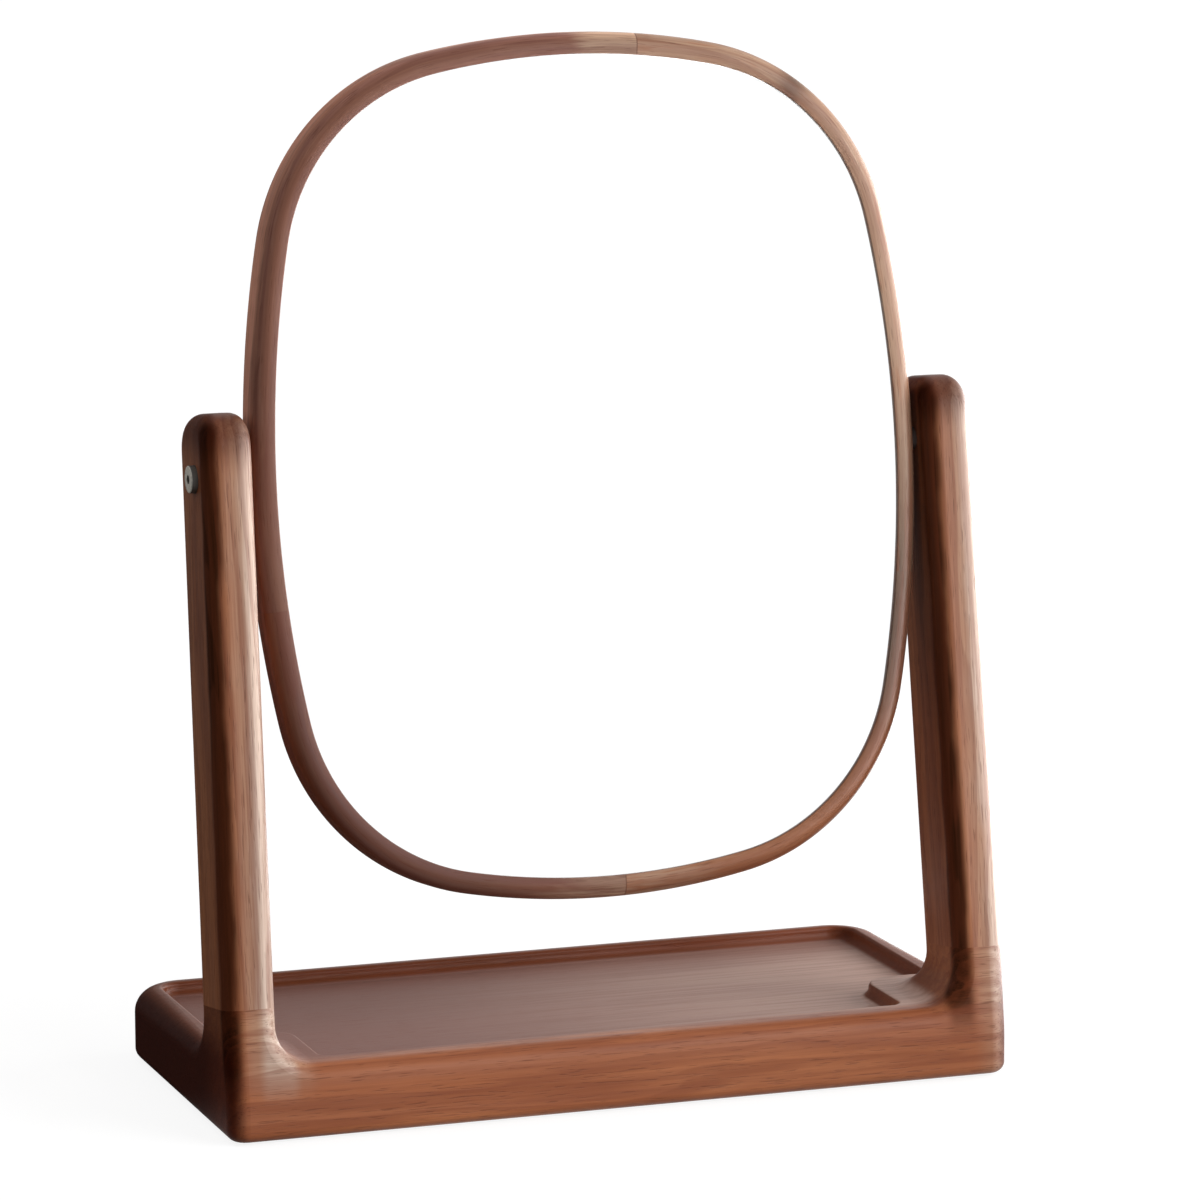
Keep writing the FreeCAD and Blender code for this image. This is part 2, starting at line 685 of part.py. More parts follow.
def draw_oval(sketch, offset):
    """Two side arcs and two end arcs about fixed centres; the corners are rounded on the solid."""
    corner = oval_corner(offset)
    quarter_signs = ((1, -1), (1, 1), (-1, 1), (-1, -1))
    corners = [FreeCAD.Vector(corner.x * across, corner.y * up, 0) for across, up in quarter_signs]
    side_centre = "(sizes.opening_width / 2 - sizes.side_radius)"
    end_centre = "(sizes.opening_height / 2 - sizes.top_radius)"
    centres = [(side_centre, "0"), ("0", end_centre), (f"-{side_centre}", "0"), ("0", f"-{end_centre}")]
    radii = [f"sizes.side_radius + {offset}", f"sizes.top_radius + {offset}"]
    count = len(corners)
    for index, (x, y) in enumerate(centres):
        radius = radii[index % len(radii)]
        arc = arc_between(corners[index], corners[(index + 1) % count], value(radius))
        sketch.addGeometry(arc, False)
        dimension(sketch, "Radius", index, None, radius)
        dimension(sketch, "DistanceX", index, CENTRE, x)
        dimension(sketch, "DistanceY", index, CENTRE, y)
    for index in range(count):
        sketch.addConstraint(Sketcher.Constraint("Coincident", index, END, (index + 1) % count, START))


def make_oval(name, offset, front, thickness):
    """A slab with the mirror's outline moved out by an offset, from a depth backwards."""
    body = doc.addObject("PartDesign::Body", name)
    outline = sketch_on(body, f"{name}_outline", "XZ_Plane", f"-({front})")
    draw_oval(outline, offset)
    pad(body, outline, thickness, backwards=True)
    round_edges(body, f"{name}_corners", f"sizes.corner_radius + {offset}",
                lambda edge, point: near(spread(edge, "X"), 0) and near(spread(edge, "Z"), 0))
    return body


def make_glazing():
    """Glass, foam and back board, stacked in the rabbet behind the lip."""
    offset = "sizes.rabbet_width - sizes.glazing_clearance"
    stack = {
        "mirror_glass": ("sizes.glass_front", "sizes.glass_thickness"),
        "glass_backing_foam": ("sizes.foam_front", "sizes.foam_thickness"),
    }
    for label, (front, thickness) in stack.items():
        node(make_oval(label, offset, front, thickness), label, MIRROR_FRAME)
    board = make_oval("board_slab", offset, "sizes.board_front", "sizes.board_thickness")
    drilled = cut_by("board_drilled", board, make_pivot_rods("board_bore", "sizes.insert_diameter"))
    node(drilled, "back_board", MIRROR_FRAME)


def make_pivot_rods(name, diameter):
    """Rods along the pivot axis, right through the board edge and frame wall on each side, for bores."""
    rods = []
    for side, across in SIDES.items():
        rod = make_rod(f"{side}_{name}", f"{diameter} + 2 * sizes.hole_clearance",
                       "sizes.insert_length + sizes.hole_clearance + sizes.overrun")
        rod.Placement.Rotation = FreeCAD.Rotation(FreeCAD.Vector(0, 0, 1), FreeCAD.Vector(across, 0, 0))
        bind(rod, Placement__Base__x=f"{across} * (sizes.insert_inner_x - sizes.hole_clearance)",
             Placement__Base__z="sizes.pivot_above_middle")
        rods.append(rod)
    return rods


def cut_by(name, base, tools):
    """A piece with a set of tool solids cut out of it."""
    cut = doc.addObject("Part::Cut", name)
    cut.Base = base
    cut.Tool = gather(f"{name}_tools", tools)
    doc.recompute()
    return cut


def make_frame():
    """The oval frame: a lip in front and a rabbet behind, glued up from four pieces with doweled joints."""
    ring = make_oval("frame_outer", "sizes.frame_face_width", "sizes.frame_front", "sizes.frame_depth")
    front = value("sizes.frame_front")
    rear = value("sizes.frame_front + sizes.frame_depth")
    round_edges(ring, "frame_front_rounds", "sizes.frame_front_round",
                lambda edge, point: near(point.y, front) and near(spread(edge, "Y"), 0))
    round_edges(ring, "frame_rear_rounds", "sizes.frame_rear_round",
                lambda edge, point: near(point.y, rear) and near(spread(edge, "Y"), 0))
    opening = make_oval("frame_opening", "0", "sizes.frame_front - sizes.overrun",
                        "sizes.lip_thickness + sizes.overrun + sizes.overrun")
    rabbet = make_oval("frame_rabbet", "sizes.rabbet_width", "sizes.glass_front",
                       "sizes.frame_depth + sizes.overrun")
    hollow = doc.addObject("Part::Fuse", "frame_hollow")
    hollow.Base = opening
    hollow.Tool = rabbet
    joint_rods = make_joint_rods("joint_bore", "sizes.hole_clearance")
    seats = make_frame_seats()
    bores = make_pivot_rods("frame_bore", "sizes.insert_diameter")
    slots = make_points("point_slot", "sizes.hole_clearance / 2")
    whole = cut_by("frame_bored", ring, [hollow])
    whole = cut_by("frame_drilled", whole, joint_rods + seats + bores + slots)
    cut_frame_into_pieces(whole)
    node(gather("frame_dowel_set", make_joint_rods("frame_dowel", "0")), "frame_joint_dowels", MIRROR_FRAME)
    node(gather("point_set", make_points("retaining_point", "0")), "retaining_points", MIRROR_FRAME)


def make_frame_seats():
    """Shallow flats on the frame's sides where the friction washers bear."""
    seats = []
    for side, across in SIDES.items():
        rod = make_rod(f"{side}_frame_seat", "sizes.friction_washer_diameter + 2 * sizes.seat_clearance",
                       "sizes.overrun")
        rod.Placement.Rotation = FreeCAD.Rotation(FreeCAD.Vector(0, 0, 1), FreeCAD.Vector(across, 0, 0))
        bind(rod, Placement__Base__x=f"{across} * sizes.frame_seat_x",
             Placement__Base__z="sizes.pivot_above_middle")
        seats.append(rod)
    return seats


def arc_height(radius, half_size, across):
    """Height on the middle line of the frame wall, at a distance across from the middle of that side."""
    middle = f"({radius} + sizes.wall_middle)"
    return f"({half_size} - {radius} + sqrt({middle} * {middle} - {across} * {across}))"


def make_joint_rods(name, clearance):
    """A short rod across each of the four glue joints of the frame, in the middle of its wall."""
    top = arc_height("sizes.top_radius", "sizes.opening_height / 2", "sizes.top_joint_offset")
    bottom = arc_height("sizes.top_radius", "sizes.opening_height / 2", "sizes.bottom_joint_offset")
    side = arc_height("sizes.side_radius", "sizes.opening_width / 2", "sizes.side_joint_drop")
    half = f"(sizes.frame_dowel_length / 2 + {clearance})"
    places = {
        "top": (f"sizes.top_joint_offset - {half}", top, True),
        "bottom": (f"sizes.bottom_joint_offset - {half}", f"-{bottom}", True),
        "left": (f"-{side}", f"-sizes.side_joint_drop - {half}", False),
        "right": (side, f"-sizes.side_joint_drop - {half}", False),
    }
    rods = []
    for joint, (x, z, lying) in places.items():
        rod = make_rod(f"{joint}_{name}", f"sizes.frame_dowel_diameter + 2 * {clearance}", f"2 * {half}")
        if lying:
            rod.Placement.Rotation = FreeCAD.Rotation(FreeCAD.Vector(0, 0, 1), FreeCAD.Vector(1, 0, 0))
        bind(rod, Placement__Base__x=x, Placement__Base__y="sizes.wall_depth_middle", Placement__Base__z=z)
        rods.append(rod)
    return rods


def make_points(name, clearance):
    """Flat steel points pressed into the frame's wall behind the back board, two on each side."""
    top = f"({arc_height('sizes.top_radius', 'sizes.opening_height / 2', 'sizes.point_top_offset')}"
    side = f"({arc_height('sizes.side_radius', 'sizes.opening_width / 2', 'sizes.point_side_offset')}"
    inset = " - sizes.wall_middle + sizes.rabbet_width + sizes.point_bite - sizes.point_length)"
    points = []
    for first in SIDES.values():
        for second in SIDES.values():
            across = (f"{first} * sizes.point_top_offset",
                      f"{second} * ({top}{inset} + sizes.point_length / 2)")
            upright = (f"{first} * ({side}{inset} + sizes.point_length / 2)",
                       f"{second} * sizes.point_side_offset")
            points.append(make_plate(f"{name}_end_{len(points)}", across, clearance, True))
            points.append(make_plate(f"{name}_side_{len(points)}", upright, clearance, False))
    return points


def make_plate(name, middle, clearance, upright):
    """A thin plate about a middle point, flat against the rear of the back board."""
    plate = doc.addObject("Part::Box", name)
    along = f"(sizes.point_length + 2 * {clearance})"
    wide = f"(sizes.point_width + 2 * {clearance})"
    length, height = (wide, along) if upright else (along, wide)
    bind(plate, Length=length, Height=height, Width=f"sizes.point_thickness + {clearance}",
         Placement__Base__x=f"{middle[0]} - {length} / 2",
         Placement__Base__y="sizes.board_rear",
         Placement__Base__z=f"{middle[1]} - {height} / 2")
    return plate


def cut_frame_into_pieces(whole):
    """Part the frame at its glue joints."""
    reach_x = "(sizes.frame_outer_x + sizes.overrun)"
    reach_z = "(sizes.frame_outer_z + sizes.overrun)"
    quarters = {
        "frame_upper_left": (f"-{reach_x}", "sizes.top_joint_offset", "-sizes.side_joint_drop", reach_z),
        "frame_upper_right": ("sizes.top_joint_offset", reach_x, "-sizes.side_joint_drop", reach_z),
        "frame_lower_left": (f"-{reach_x}", "sizes.bottom_joint_offset", f"-{reach_z}",
                             "-sizes.side_joint_drop"),
        "frame_lower_right": ("sizes.bottom_joint_offset", reach_x, f"-{reach_z}", "-sizes.side_joint_drop"),
    }
    for label, (left, right, low, high) in quarters.items():
        box = doc.addObject("Part::Box", f"{label}_room")
        bind(box, Length=f"{right} - ({left})", Height=f"{high} - ({low})",
             Width="sizes.frame_depth + 2 * sizes.overrun",
             Placement__Base__x=left, Placement__Base__y="sizes.frame_front - sizes.overrun",
             Placement__Base__z=low)
        piece = doc.addObject("Part::Common", f"{label}_piece")
        piece.Base = whole
        piece.Tool = box
        node(piece, label, MIRROR_FRAME)


def make_turned(label, corners):
    """A turned piece on the pivot axis, from its half section."""
    body = doc.addObject("PartDesign::Body", label)
    section = sketch_on(body, f"{label}_section", "XZ_Plane")
    draw_outline(section, corners)
    revolve(body, section)
    return node(body, label, PIVOT_FRAME)


def make_sleeve(label, across, near_x, far_x, bore, diameter):
    """A plain tube on the pivot axis between two distances from the middle."""
    inner, outer = f"({bore}) / 2", f"({diameter}) / 2"
    make_turned(label, [
        (f"{across} * ({near_x})", inner),
        (f"{across} * ({far_x})", inner),
        (f"{across} * ({far_x})", outer),
        (f"{across} * ({near_x})", outer),
    ])


def make_pivot(side, across):
    """One pivot: a bolt through a bush in the post, a friction washer and a threaded insert in the mirror."""
    bolt_bore = "sizes.bolt_diameter + 2 * sizes.running_clearance"
    make_sleeve(f"{side}_post_bush", across, "sizes.post_seat_x", "sizes.spot_face_x",
                bolt_bore, "sizes.bush_diameter")
    make_sleeve(f"{side}_friction_washer", across, "sizes.frame_seat_x + sizes.washer_play",
                "sizes.post_seat_x - sizes.washer_play", bolt_bore, "sizes.friction_washer_diameter")
    make_sleeve(f"{side}_head_washer", across, "sizes.spot_face_x + sizes.washer_play", "sizes.bolt_seat_x",
                bolt_bore, "sizes.bolt_head_diameter")
    make_sleeve(f"{side}_threaded_insert", across, "sizes.insert_inner_x", "sizes.frame_seat_x",
                "sizes.bolt_diameter + 2 * sizes.hole_clearance", "sizes.insert_diameter")
    make_bolt(side, across)


def make_bolt(side, across):
    """The pivot bolt: a shank and a low round head with a hexagon socket."""
    shank, head = "sizes.bolt_diameter / 2", "sizes.bolt_head_diameter / 2"
    corner = "sizes.bolt_head_round"
    bolt = make_turned(f"{side}_pivot_bolt", [
        (f"{across} * sizes.bolt_tip_x", "0"),
        (f"{across} * sizes.bolt_tip_x", shank),
        (f"{across} * sizes.bolt_seat_x", shank),
        (f"{across} * sizes.bolt_seat_x", head),
        (f"{across} * (sizes.bolt_end_x - {corner})", head, f"{-across} * {corner}"),
        (f"{across} * sizes.bolt_end_x", f"{head} - {corner}"),
        (f"{across} * sizes.bolt_end_x", "0"),
    ])
    socket = sketch_on(bolt, f"{side}_socket", "YZ_Plane", f"{across} * sizes.bolt_end_x")
    circumradius = "sizes.socket_width / sqrt(3)"
    hexagon = [60 * index for index in range(6)]
    draw_outline(socket, [(f"{circumradius} * cos({angle} deg)", f"{circumradius} * sin({angle} deg)")
                          for angle in hexagon])
    pocket(bolt, socket, "sizes.socket_depth", backwards=across < 0)


def check_document():
    """Stop where any object failed or any piece is empty or unsound."""
    doc.recompute()
    for thing in doc.Objects:
        if {"Invalid", "Error"} & set(thing.State):
            raise RuntimeError(f"{thing.Name} failed: {thing.State}")
    for piece in nodes:
        if piece.Shape.isNull() or not piece.Shape.isValid() or not piece.Shape.Solids:
            raise RuntimeError(f"{piece.Label} has no sound solid")


def write_parts():
    """Write each piece to its own file, named by its label."""
    os.makedirs("parts", exist_ok=True)
    for piece in nodes:
        piece.Shape.exportStep(f"parts/{piece.Label}.step")


fill_sheet()
make_base()
make_foot_pads()
for side_name, side_sign in SIDES.items():
    make_post(side_name, side_sign)
    make_post_dowels(side_name, side_sign)
make_frame()
make_glazing()
for side_name, side_sign in SIDES.items():
    make_pivot(side_name, side_sign)
check_document()
write_parts()
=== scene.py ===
"""Looks of a tilting vanity mirror: a walnut stand with a tray, an oval framed glass and its pivots."""
import json
import math
from collections import namedtuple

import bpy
import numpy as np
from bpy.props import FloatProperty, FloatVectorProperty, PointerProperty
from mathutils import Matrix, Vector


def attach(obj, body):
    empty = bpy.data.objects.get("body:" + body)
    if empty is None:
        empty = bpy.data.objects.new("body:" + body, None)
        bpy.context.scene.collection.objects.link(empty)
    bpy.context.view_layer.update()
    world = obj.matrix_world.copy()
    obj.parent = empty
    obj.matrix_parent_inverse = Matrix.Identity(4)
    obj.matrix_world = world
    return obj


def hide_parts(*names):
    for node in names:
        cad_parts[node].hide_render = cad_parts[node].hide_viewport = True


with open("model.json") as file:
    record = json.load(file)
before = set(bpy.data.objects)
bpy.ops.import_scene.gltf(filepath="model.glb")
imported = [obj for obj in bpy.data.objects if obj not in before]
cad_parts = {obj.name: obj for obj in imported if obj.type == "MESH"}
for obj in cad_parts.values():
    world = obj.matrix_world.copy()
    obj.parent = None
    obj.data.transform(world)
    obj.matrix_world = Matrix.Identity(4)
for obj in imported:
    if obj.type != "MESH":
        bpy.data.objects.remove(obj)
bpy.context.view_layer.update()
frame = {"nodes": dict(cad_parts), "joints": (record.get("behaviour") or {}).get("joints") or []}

bl_info = {
    "name": "Vanity mirror",
    "version": (1, 0, 0),
    "blender": (4, 5, 0),
    "location": "View3D > Sidebar > Vanity",
    "description": "Walnut vanity mirror with a tray, an oval frame and a tilting glass",
    "category": "Object",
}

PIVOT = tuple(frame["joints"][0]["pos_m"])

# The posts' edges: a place at floor level in metres, and how far it moves for each metre of height
FRONT_LINE = (-0.0770, 0.1486)
SIDE_LINE = (-0.0742, 0.1486)
INNER_LINE = (0.13157, -0.01287)
OUTER_LINE = (0.15073, -0.01523)
POST_LEAN = math.radians(8.45)

# Places in metres between which a mask or a tone rises on the base and the posts
TRAY_SIDES = (0.1375, 0.1350)
TRAY_FRONT = (-0.0660, -0.0600)
TRAY_REAR = (0.0635, 0.0610)
TRAY_TOP = (0.0330, 0.0290)
# Painted sheen: the tray's floor turns paler grey towards the lamp side; painted shade: it turns redder
# near the rear wall
TRAY_PAINTED_SHEEN = (-0.10, 0.16)
TRAY_PAINTED_REAR_SHADE = (0.020, 0.062)
# Painted shade: the base darkens behind its front edge, under the mirror
PAINTED_REAR_SHADE = (-0.066, -0.035)
RIGHT_DARKENING = (0.02, 0.13)
RIGHT_END = (0.12, 0.15)
STUBS = (0.026, 0.043)
STREAK_FOOT = (0.013, 0.032)
POST_TOP = (0.2360, 0.2520)

# Rows of the frame's mesh along the curve: the even step, and the close rows from a glue joint
ROW_GAP = 0.0022
JOINT_ROWS = np.array((0.0, 0.00015, 0.0004, 0.0009))
GLUE_WIDTH = JOINT_ROWS[2]

# Tone, share of cool streaks and tint of each frame piece's board
FRAME_BOARDS = {
    "upper_left": (1.0, 0.7, (0.85, 1.08, 2.2)),
    "lower_left": (1.0, 0.6, (0.89, 1.06, 2.0)),
    "lower_right": (1.1, 0.2, (1.0, 1.1, 1.5)),
    "upper_right": (1.1, 0.2, (1.0, 1.1, 1.5)),
}

# The lamps: the key's direction, the window's middle and aim, and which side of the floor is bright
KEY_DIRECTION = Vector((-0.718, 0.646, -0.259))
WINDOW_PLACE = Vector((1.25, 0.10, 0.42))
WINDOW_AIM = Vector((0.0, 0.0, 0.2))
LAMP_SIDE = (0.766, -0.643)
WHITE, BLACK = (1.0, 1.0, 1.0, 1.0), (0.0, 0.0, 0.0, 1.0)


def length(name, description, default):
    """A size in metres that the sidebar shows as a distance."""
    return FloatProperty(name=name, description=description, default=default, min=0.0,
                         subtype="DISTANCE", unit="LENGTH", precision=4)


def colour(name, description, default):
    """A linear colour with the sidebar's colour picker."""
    return FloatVectorProperty(name=name, description=description, default=default, size=3,
                               min=0.0, max=1.0, subtype="COLOR")


def share(name, description, default):
    """A number from nought to one."""
    return FloatProperty(name=name, description=description, default=default, min=0.0, max=1.0,
                         subtype="FACTOR")


def turn(name, description, degrees):
    """An angle, written in degrees."""
    return FloatProperty(name=name, description=description, default=math.radians(degrees),
                         subtype="ANGLE", unit="ROTATION")


class VanityWood(bpy.types.PropertyGroup):
    """Colours and grain sizes of the walnut."""

    light: colour("Light wood", "Early wood between the growth lines", (0.40, 0.146, 0.048))
    middle: colour("Middle wood", "Main tone of the boards", (0.31, 0.098, 0.029))
    dark: colour("Dark wood", "Late wood at the growth lines", (0.165, 0.041, 0.013))
    mauve: colour("Mauve wood", "Cool streaks in the heartwood", (0.235, 0.090, 0.046))
    # Partly painted highlight: on the frame's right side this pale colour also stands in for the lamp's
    # highlight
    sapwood_and_highlight: colour("Sapwood", "Pale wood of the frame's top and right side", (0.53, 0.335, 0.225))
    # Painted sheen: the pale grey tray colour stands in for the lamp's reflection on the tray's floor;
    # the red one also serves as painted shade
    tray: colour("Tray wood", "Paler wood at the right of the tray's floor", (0.70, 0.49, 0.41))
    tray_left: colour("Red tray wood", "Redder wood at the left of the tray's floor",
                      (0.29, 0.155, 0.13))
    stub: colour("Stub wood", "Stubs under the posts", (0.41, 0.147, 0.058))
    # Painted highlights: these two pale colours are laid along the front edges of the posts and stubs on
    # the lamp side
    highlit: colour("Highlit wood", "Pale fronts of the posts and stubs", (0.50, 0.33, 0.225))
    painted_light_tone: colour("Glinting wood", "Palest edges of the posts and stubs", (0.78, 0.66, 0.56))
    pore: colour("Pores", "Open pores along the grain", (0.10, 0.026, 0.011))
    growth_width: length("Growth width", "Distance between two growth lines", 0.0058)
    figure_width: length("Figure width", "Width of the broad wavy figure", 0.022)
    figure_bend: length("Figure bend", "How far the figure bends the growth lines", 0.030)
    streak_width: length("Streak width", "Width of the cool streaks", 0.011)
    vein_width: length("Vein width", "Width of the dark veins", 0.0024)
    finger_width: length("Finger width", "Width of the sapwood's ragged fingers", 0.0022)
    fibre_width: length("Fibre width", "Width of the fine fibres", 0.0008)
    pore_width: length("Pore width", "Width of a pore", 0.00042)
    end_grain: share("End grain", "How far the open ends of the boards darken", 0.75)
    satin: share("Satin", "Roughness of the oiled surface", 0.38)
    lustre: share("Lustre", "Strength of the oiled surface's reflection", 0.25)


class VanityStreaks(bpy.types.PropertyGroup):
    """Painted highlights and painted shade, laid as streaks along the front edges of the posts and
    stubs.
    """

    # The first two reaches and the pale strength shape painted highlights; the next two reaches, the
    # dark strength, the dark tone and the dulling shape painted shade
    highlit_reach: length("Highlit reach", "Width of the rubbed wood from the edge", 0.016)
    glint_reach: length("Glinting reach", "Width of the worn wood from the edge", 0.0085)
    shade_reach: length("Dark reach", "Width of the dark wood from a post's edge", 0.0066)
    foot_reach: length("Foot reach", "Width of the dark wood from a stub's edge", 0.0078)
    waver: length("Waver", "How far a streak's side moves in and out", 0.005)
    pale_strength: share("Pale strength", "How far the pale streaks cover the board", 0.55)
    dark_strength: share("Dark strength", "How far the dark streaks cover the board", 0.95)
    dark_tone: share("Dark tone", "Level of the dark streaks against the dark wood", 0.25)
    dulling: share("Dulling", "Share of the lustre that a dark streak takes", 0.85)


class VanityFrameSizes(bpy.types.PropertyGroup):
    """Sizes of the oval frame round the glass."""

    opening_width: length("Opening width", "Width of the glass that shows", 0.23799)
    opening_height: length("Opening height", "Height of the glass that shows", 0.2985)
    side_radius: length("Side radius", "Radius of the long flat sides", 0.43999)
    top_radius: length("Top radius", "Radius of the top and bottom", 0.26498)
    corner_radius: length("Corner radius", "Radius of the four corners", 0.07401)
    face_width: length("Face width", "Width of the frame seen from the front", 0.0082)
    depth: length("Depth", "Depth of the frame from front to back", 0.017)
    front_round: length("Front round", "Rounding of the outer front edge", 0.0055)
    rear_round: length("Rear round", "Rounding of the outer rear edge", 0.0035)
    lip: length("Lip", "Thickness of the lip over the glass", 0.0012)
    rabbet: length("Rabbet", "Width of the lip over the glass", 0.0025)
    edge_break: length("Edge break", "Rounding of the lip's inner edge", 0.0004)
    setback: length("Setback", "Frame's front before the pivot axis", 0.0082)
    pivot_above_middle: length("Pivot above middle", "Pivot axis above the oval's middle", 0.00335)
    tilt: turn("Tilt", "How far the glass leans back at rest", 7.2)
    top_joint: length("Top joint", "Glue joint right of the middle at the top", 0.024)
    bottom_joint: length("Bottom joint", "Glue joint right of the middle at the bottom", 0.006)
    side_joint: length("Side joint", "Glue joints below the middle at the sides", 0.045)


class VanityFinishes(bpy.types.PropertyGroup):
    """Colours of everything that is not walnut."""

    silver: colour("Silver", "Silvered glass", (0.985, 0.99, 0.99))
    plated: colour("Plated steel", "Pivot bolts and their washers", (0.95, 0.89, 0.78))
    steel: colour("Steel", "Points behind the board", (0.30, 0.29, 0.275))
    brass: colour("Brass", "Threaded inserts", (0.62, 0.42, 0.17))
    nylon: colour("Nylon", "Bushes and friction washers", (0.055, 0.034, 0.028))
    felt: colour("Felt", "Pads under the base", (0.085, 0.05, 0.036))
    foam: colour("Foam", "Sheet behind the glass", (0.55, 0.55, 0.53))
    beech_light: colour("Light beech", "Dowels", (0.62, 0.42, 0.26))
    beech_dark: colour("Dark beech", "Flecks in the dowels", (0.42, 0.24, 0.13))
    board_light: colour("Light board", "Veneer on the back board", (0.20, 0.098, 0.06))
    board_dark: colour("Dark board", "Growth lines of the veneer", (0.085, 0.037, 0.023))


class VanityStudio(bpy.types.PropertyGroup):
    """Camera, lamps and floor."""

    place: FloatVectorProperty(name="Camera place", description="Where the camera stands", size=3,
                               default=(-0.72515, -2.11655, 0.58490), subtype="TRANSLATION",
                               unit="LENGTH")
    heading: turn("Heading", "Camera's turn to the right of the depth axis", 19.28)
    drop: turn("Drop", "Camera's downward tilt", 10.35)
    roll: turn("Roll", "Camera's roll", -0.15)
    lens: FloatProperty(name="Lens", description="Focal length in millimetres", default=184.6, min=1.0)
    floor: colour("Floor", "Pale floor", (0.26, 0.26, 0.26))
    floor_glow: share("Floor glow", "How far the floor is lifted to white for the eye", 0.86)
    key: FloatProperty(name="Key lamp", description="Strength of the soft key lamp", default=3.0,
                       min=0.0)
    gloss: FloatProperty(name="Gloss", description="Level of the white room in the glass and the polish",
                         default=1.03, min=0.0)
    glare: FloatProperty(name="Glare", description="Level of the lamp's glare on the floor in gloss",
                         default=16.0, min=0.0)
    sheen: FloatProperty(name="Sheen", description="Level of the lamp itself in gloss", default=4.5,
                         min=0.0)
    window: FloatProperty(name="Window", description="Power of the soft lamp beside the object in watts",
                          default=6.0, min=0.0, subtype="POWER")
    bright: share("Bright side", "Level of the room on the lamp's side", 0.30)
    above: share("Above", "Level of the room above the object", 0.28)
    dim: share("Dim side", "Level of the far side in front in gloss", 0.02)
    dim_behind: share("Dim side behind", "Level of the far side behind in gloss", 0.10)
    fill: share("Fill", "Light from the far side in front", 0.10)
    fill_behind: share("Fill behind", "Light from the far side behind", 1.0)


def feed(tree, node, inputs):
    """Fills a node's inputs by name or number: a socket is linked, anything else is a value."""
    for name, source in inputs.items():
        if isinstance(source, bpy.types.NodeSocket):
            tree.links.new(source, node.inputs[name])
        else:
            node.inputs[name].default_value = source


def add(tree, kind, inputs=None, **settings):
    """A node with its settings and its inputs."""
    made = tree.nodes.new(kind)
    for name, setting in settings.items():
        setattr(made, name, setting)
    feed(tree, made, inputs or {})
    return made


def calc(tree, operation, first, second=0.0, third=0.0, clamp=False):
    """One sum of up to three numbers or sockets."""
    return add(tree, "ShaderNodeMath", {0: first, 1: second, 2: third}, operation=operation,
               use_clamp=clamp).outputs[0]


def distance(tree, first, second):
    """The root of the sum of two squares."""
    squares = calc(tree, "MULTIPLY_ADD", first, first, calc(tree, "MULTIPLY", second, second))
    return calc(tree, "SQRT", squares)


def blend(tree, factor, first, second, blend_type="MIX"):
    """Two colours mixed by a factor."""
    made = add(tree, "ShaderNodeMix", {0: factor, 6: first, 7: second}, data_type="RGBA",
               blend_type=blend_type)
    return made.outputs[2]


def rise(tree, source, low, high, to_low=0.0, to_high=1.0):
    """A smooth step of a number from low to high."""
    return add(tree, "ShaderNodeMapRange", {"Value": source, "From Min": low, "From Max": high,
                                            "To Min": to_low, "To Max": to_high},
               interpolation_type="SMOOTHSTEP").outputs["Result"]


def stretched_noise(tree, vector, width, stretch, detail=2.0, roughness=0.5, distortion=0.0):
    """Noise whose spots are so wide across the grain, and so many times longer along it."""
    squeezed = add(tree, "ShaderNodeMapping", {"Vector": vector, "Scale": (1.0 / stretch, 1.0, 1.0)})
    made = add(tree, "ShaderNodeTexNoise", {
        "Vector": squeezed.outputs[0], "Scale": 1.0 / width, "Detail": detail,
        "Roughness": roughness, "Distortion": distortion})
    return made.outputs["Fac"]


def opaque(values):
    """A colour with full alpha, as a node's socket wants it."""
    return (*values, 1.0)


def new_material(name):
    """An empty node material, its tree and its shader."""
    material = bpy.data.materials.new(name)
    material.use_nodes = True
    tree = material.node_tree
    return material, tree, tree.nodes["Principled BSDF"]


Grain = namedtuple("Grain", "late figure fibre pore vein")


def wood_grain(tree, vector, wood):
    """Growth lines, figure, fibres, pores and veins of a board whose grain runs along X.

    The distance from a heart line along X, bent by broad noise, is cut into growth rings: each darkens
    slowly and ends at once. Each result is a number from nought to one.
    """
    figure = stretched_noise(tree, vector, wood.figure_width, 9.0, detail=3.0, distortion=0.5)
    parts = add(tree, "ShaderNodeSeparateXYZ", {"Vector": vector}).outputs
    bent = calc(tree, "MULTIPLY_ADD", figure, wood.figure_bend, distance(tree, parts["Y"], parts["Z"]))
    ring = calc(tree, "FRACT", calc(tree, "DIVIDE", bent, wood.growth_width))
    late = calc(tree, "MULTIPLY", rise(tree, ring, 0.25, 0.86), rise(tree, ring, 1.0, 0.9))
    fibre = stretched_noise(tree, vector, wood.fibre_width, 60.0, detail=3.0, roughness=0.6)
    pore = rise(tree, stretched_noise(tree, vector, wood.pore_width, 22.0, detail=1.0), 0.60, 0.70)
    vein = stretched_noise(tree, vector, wood.vein_width, 34.0, detail=3.0, roughness=0.6)
    return Grain(late, figure, fibre, pore, vein)


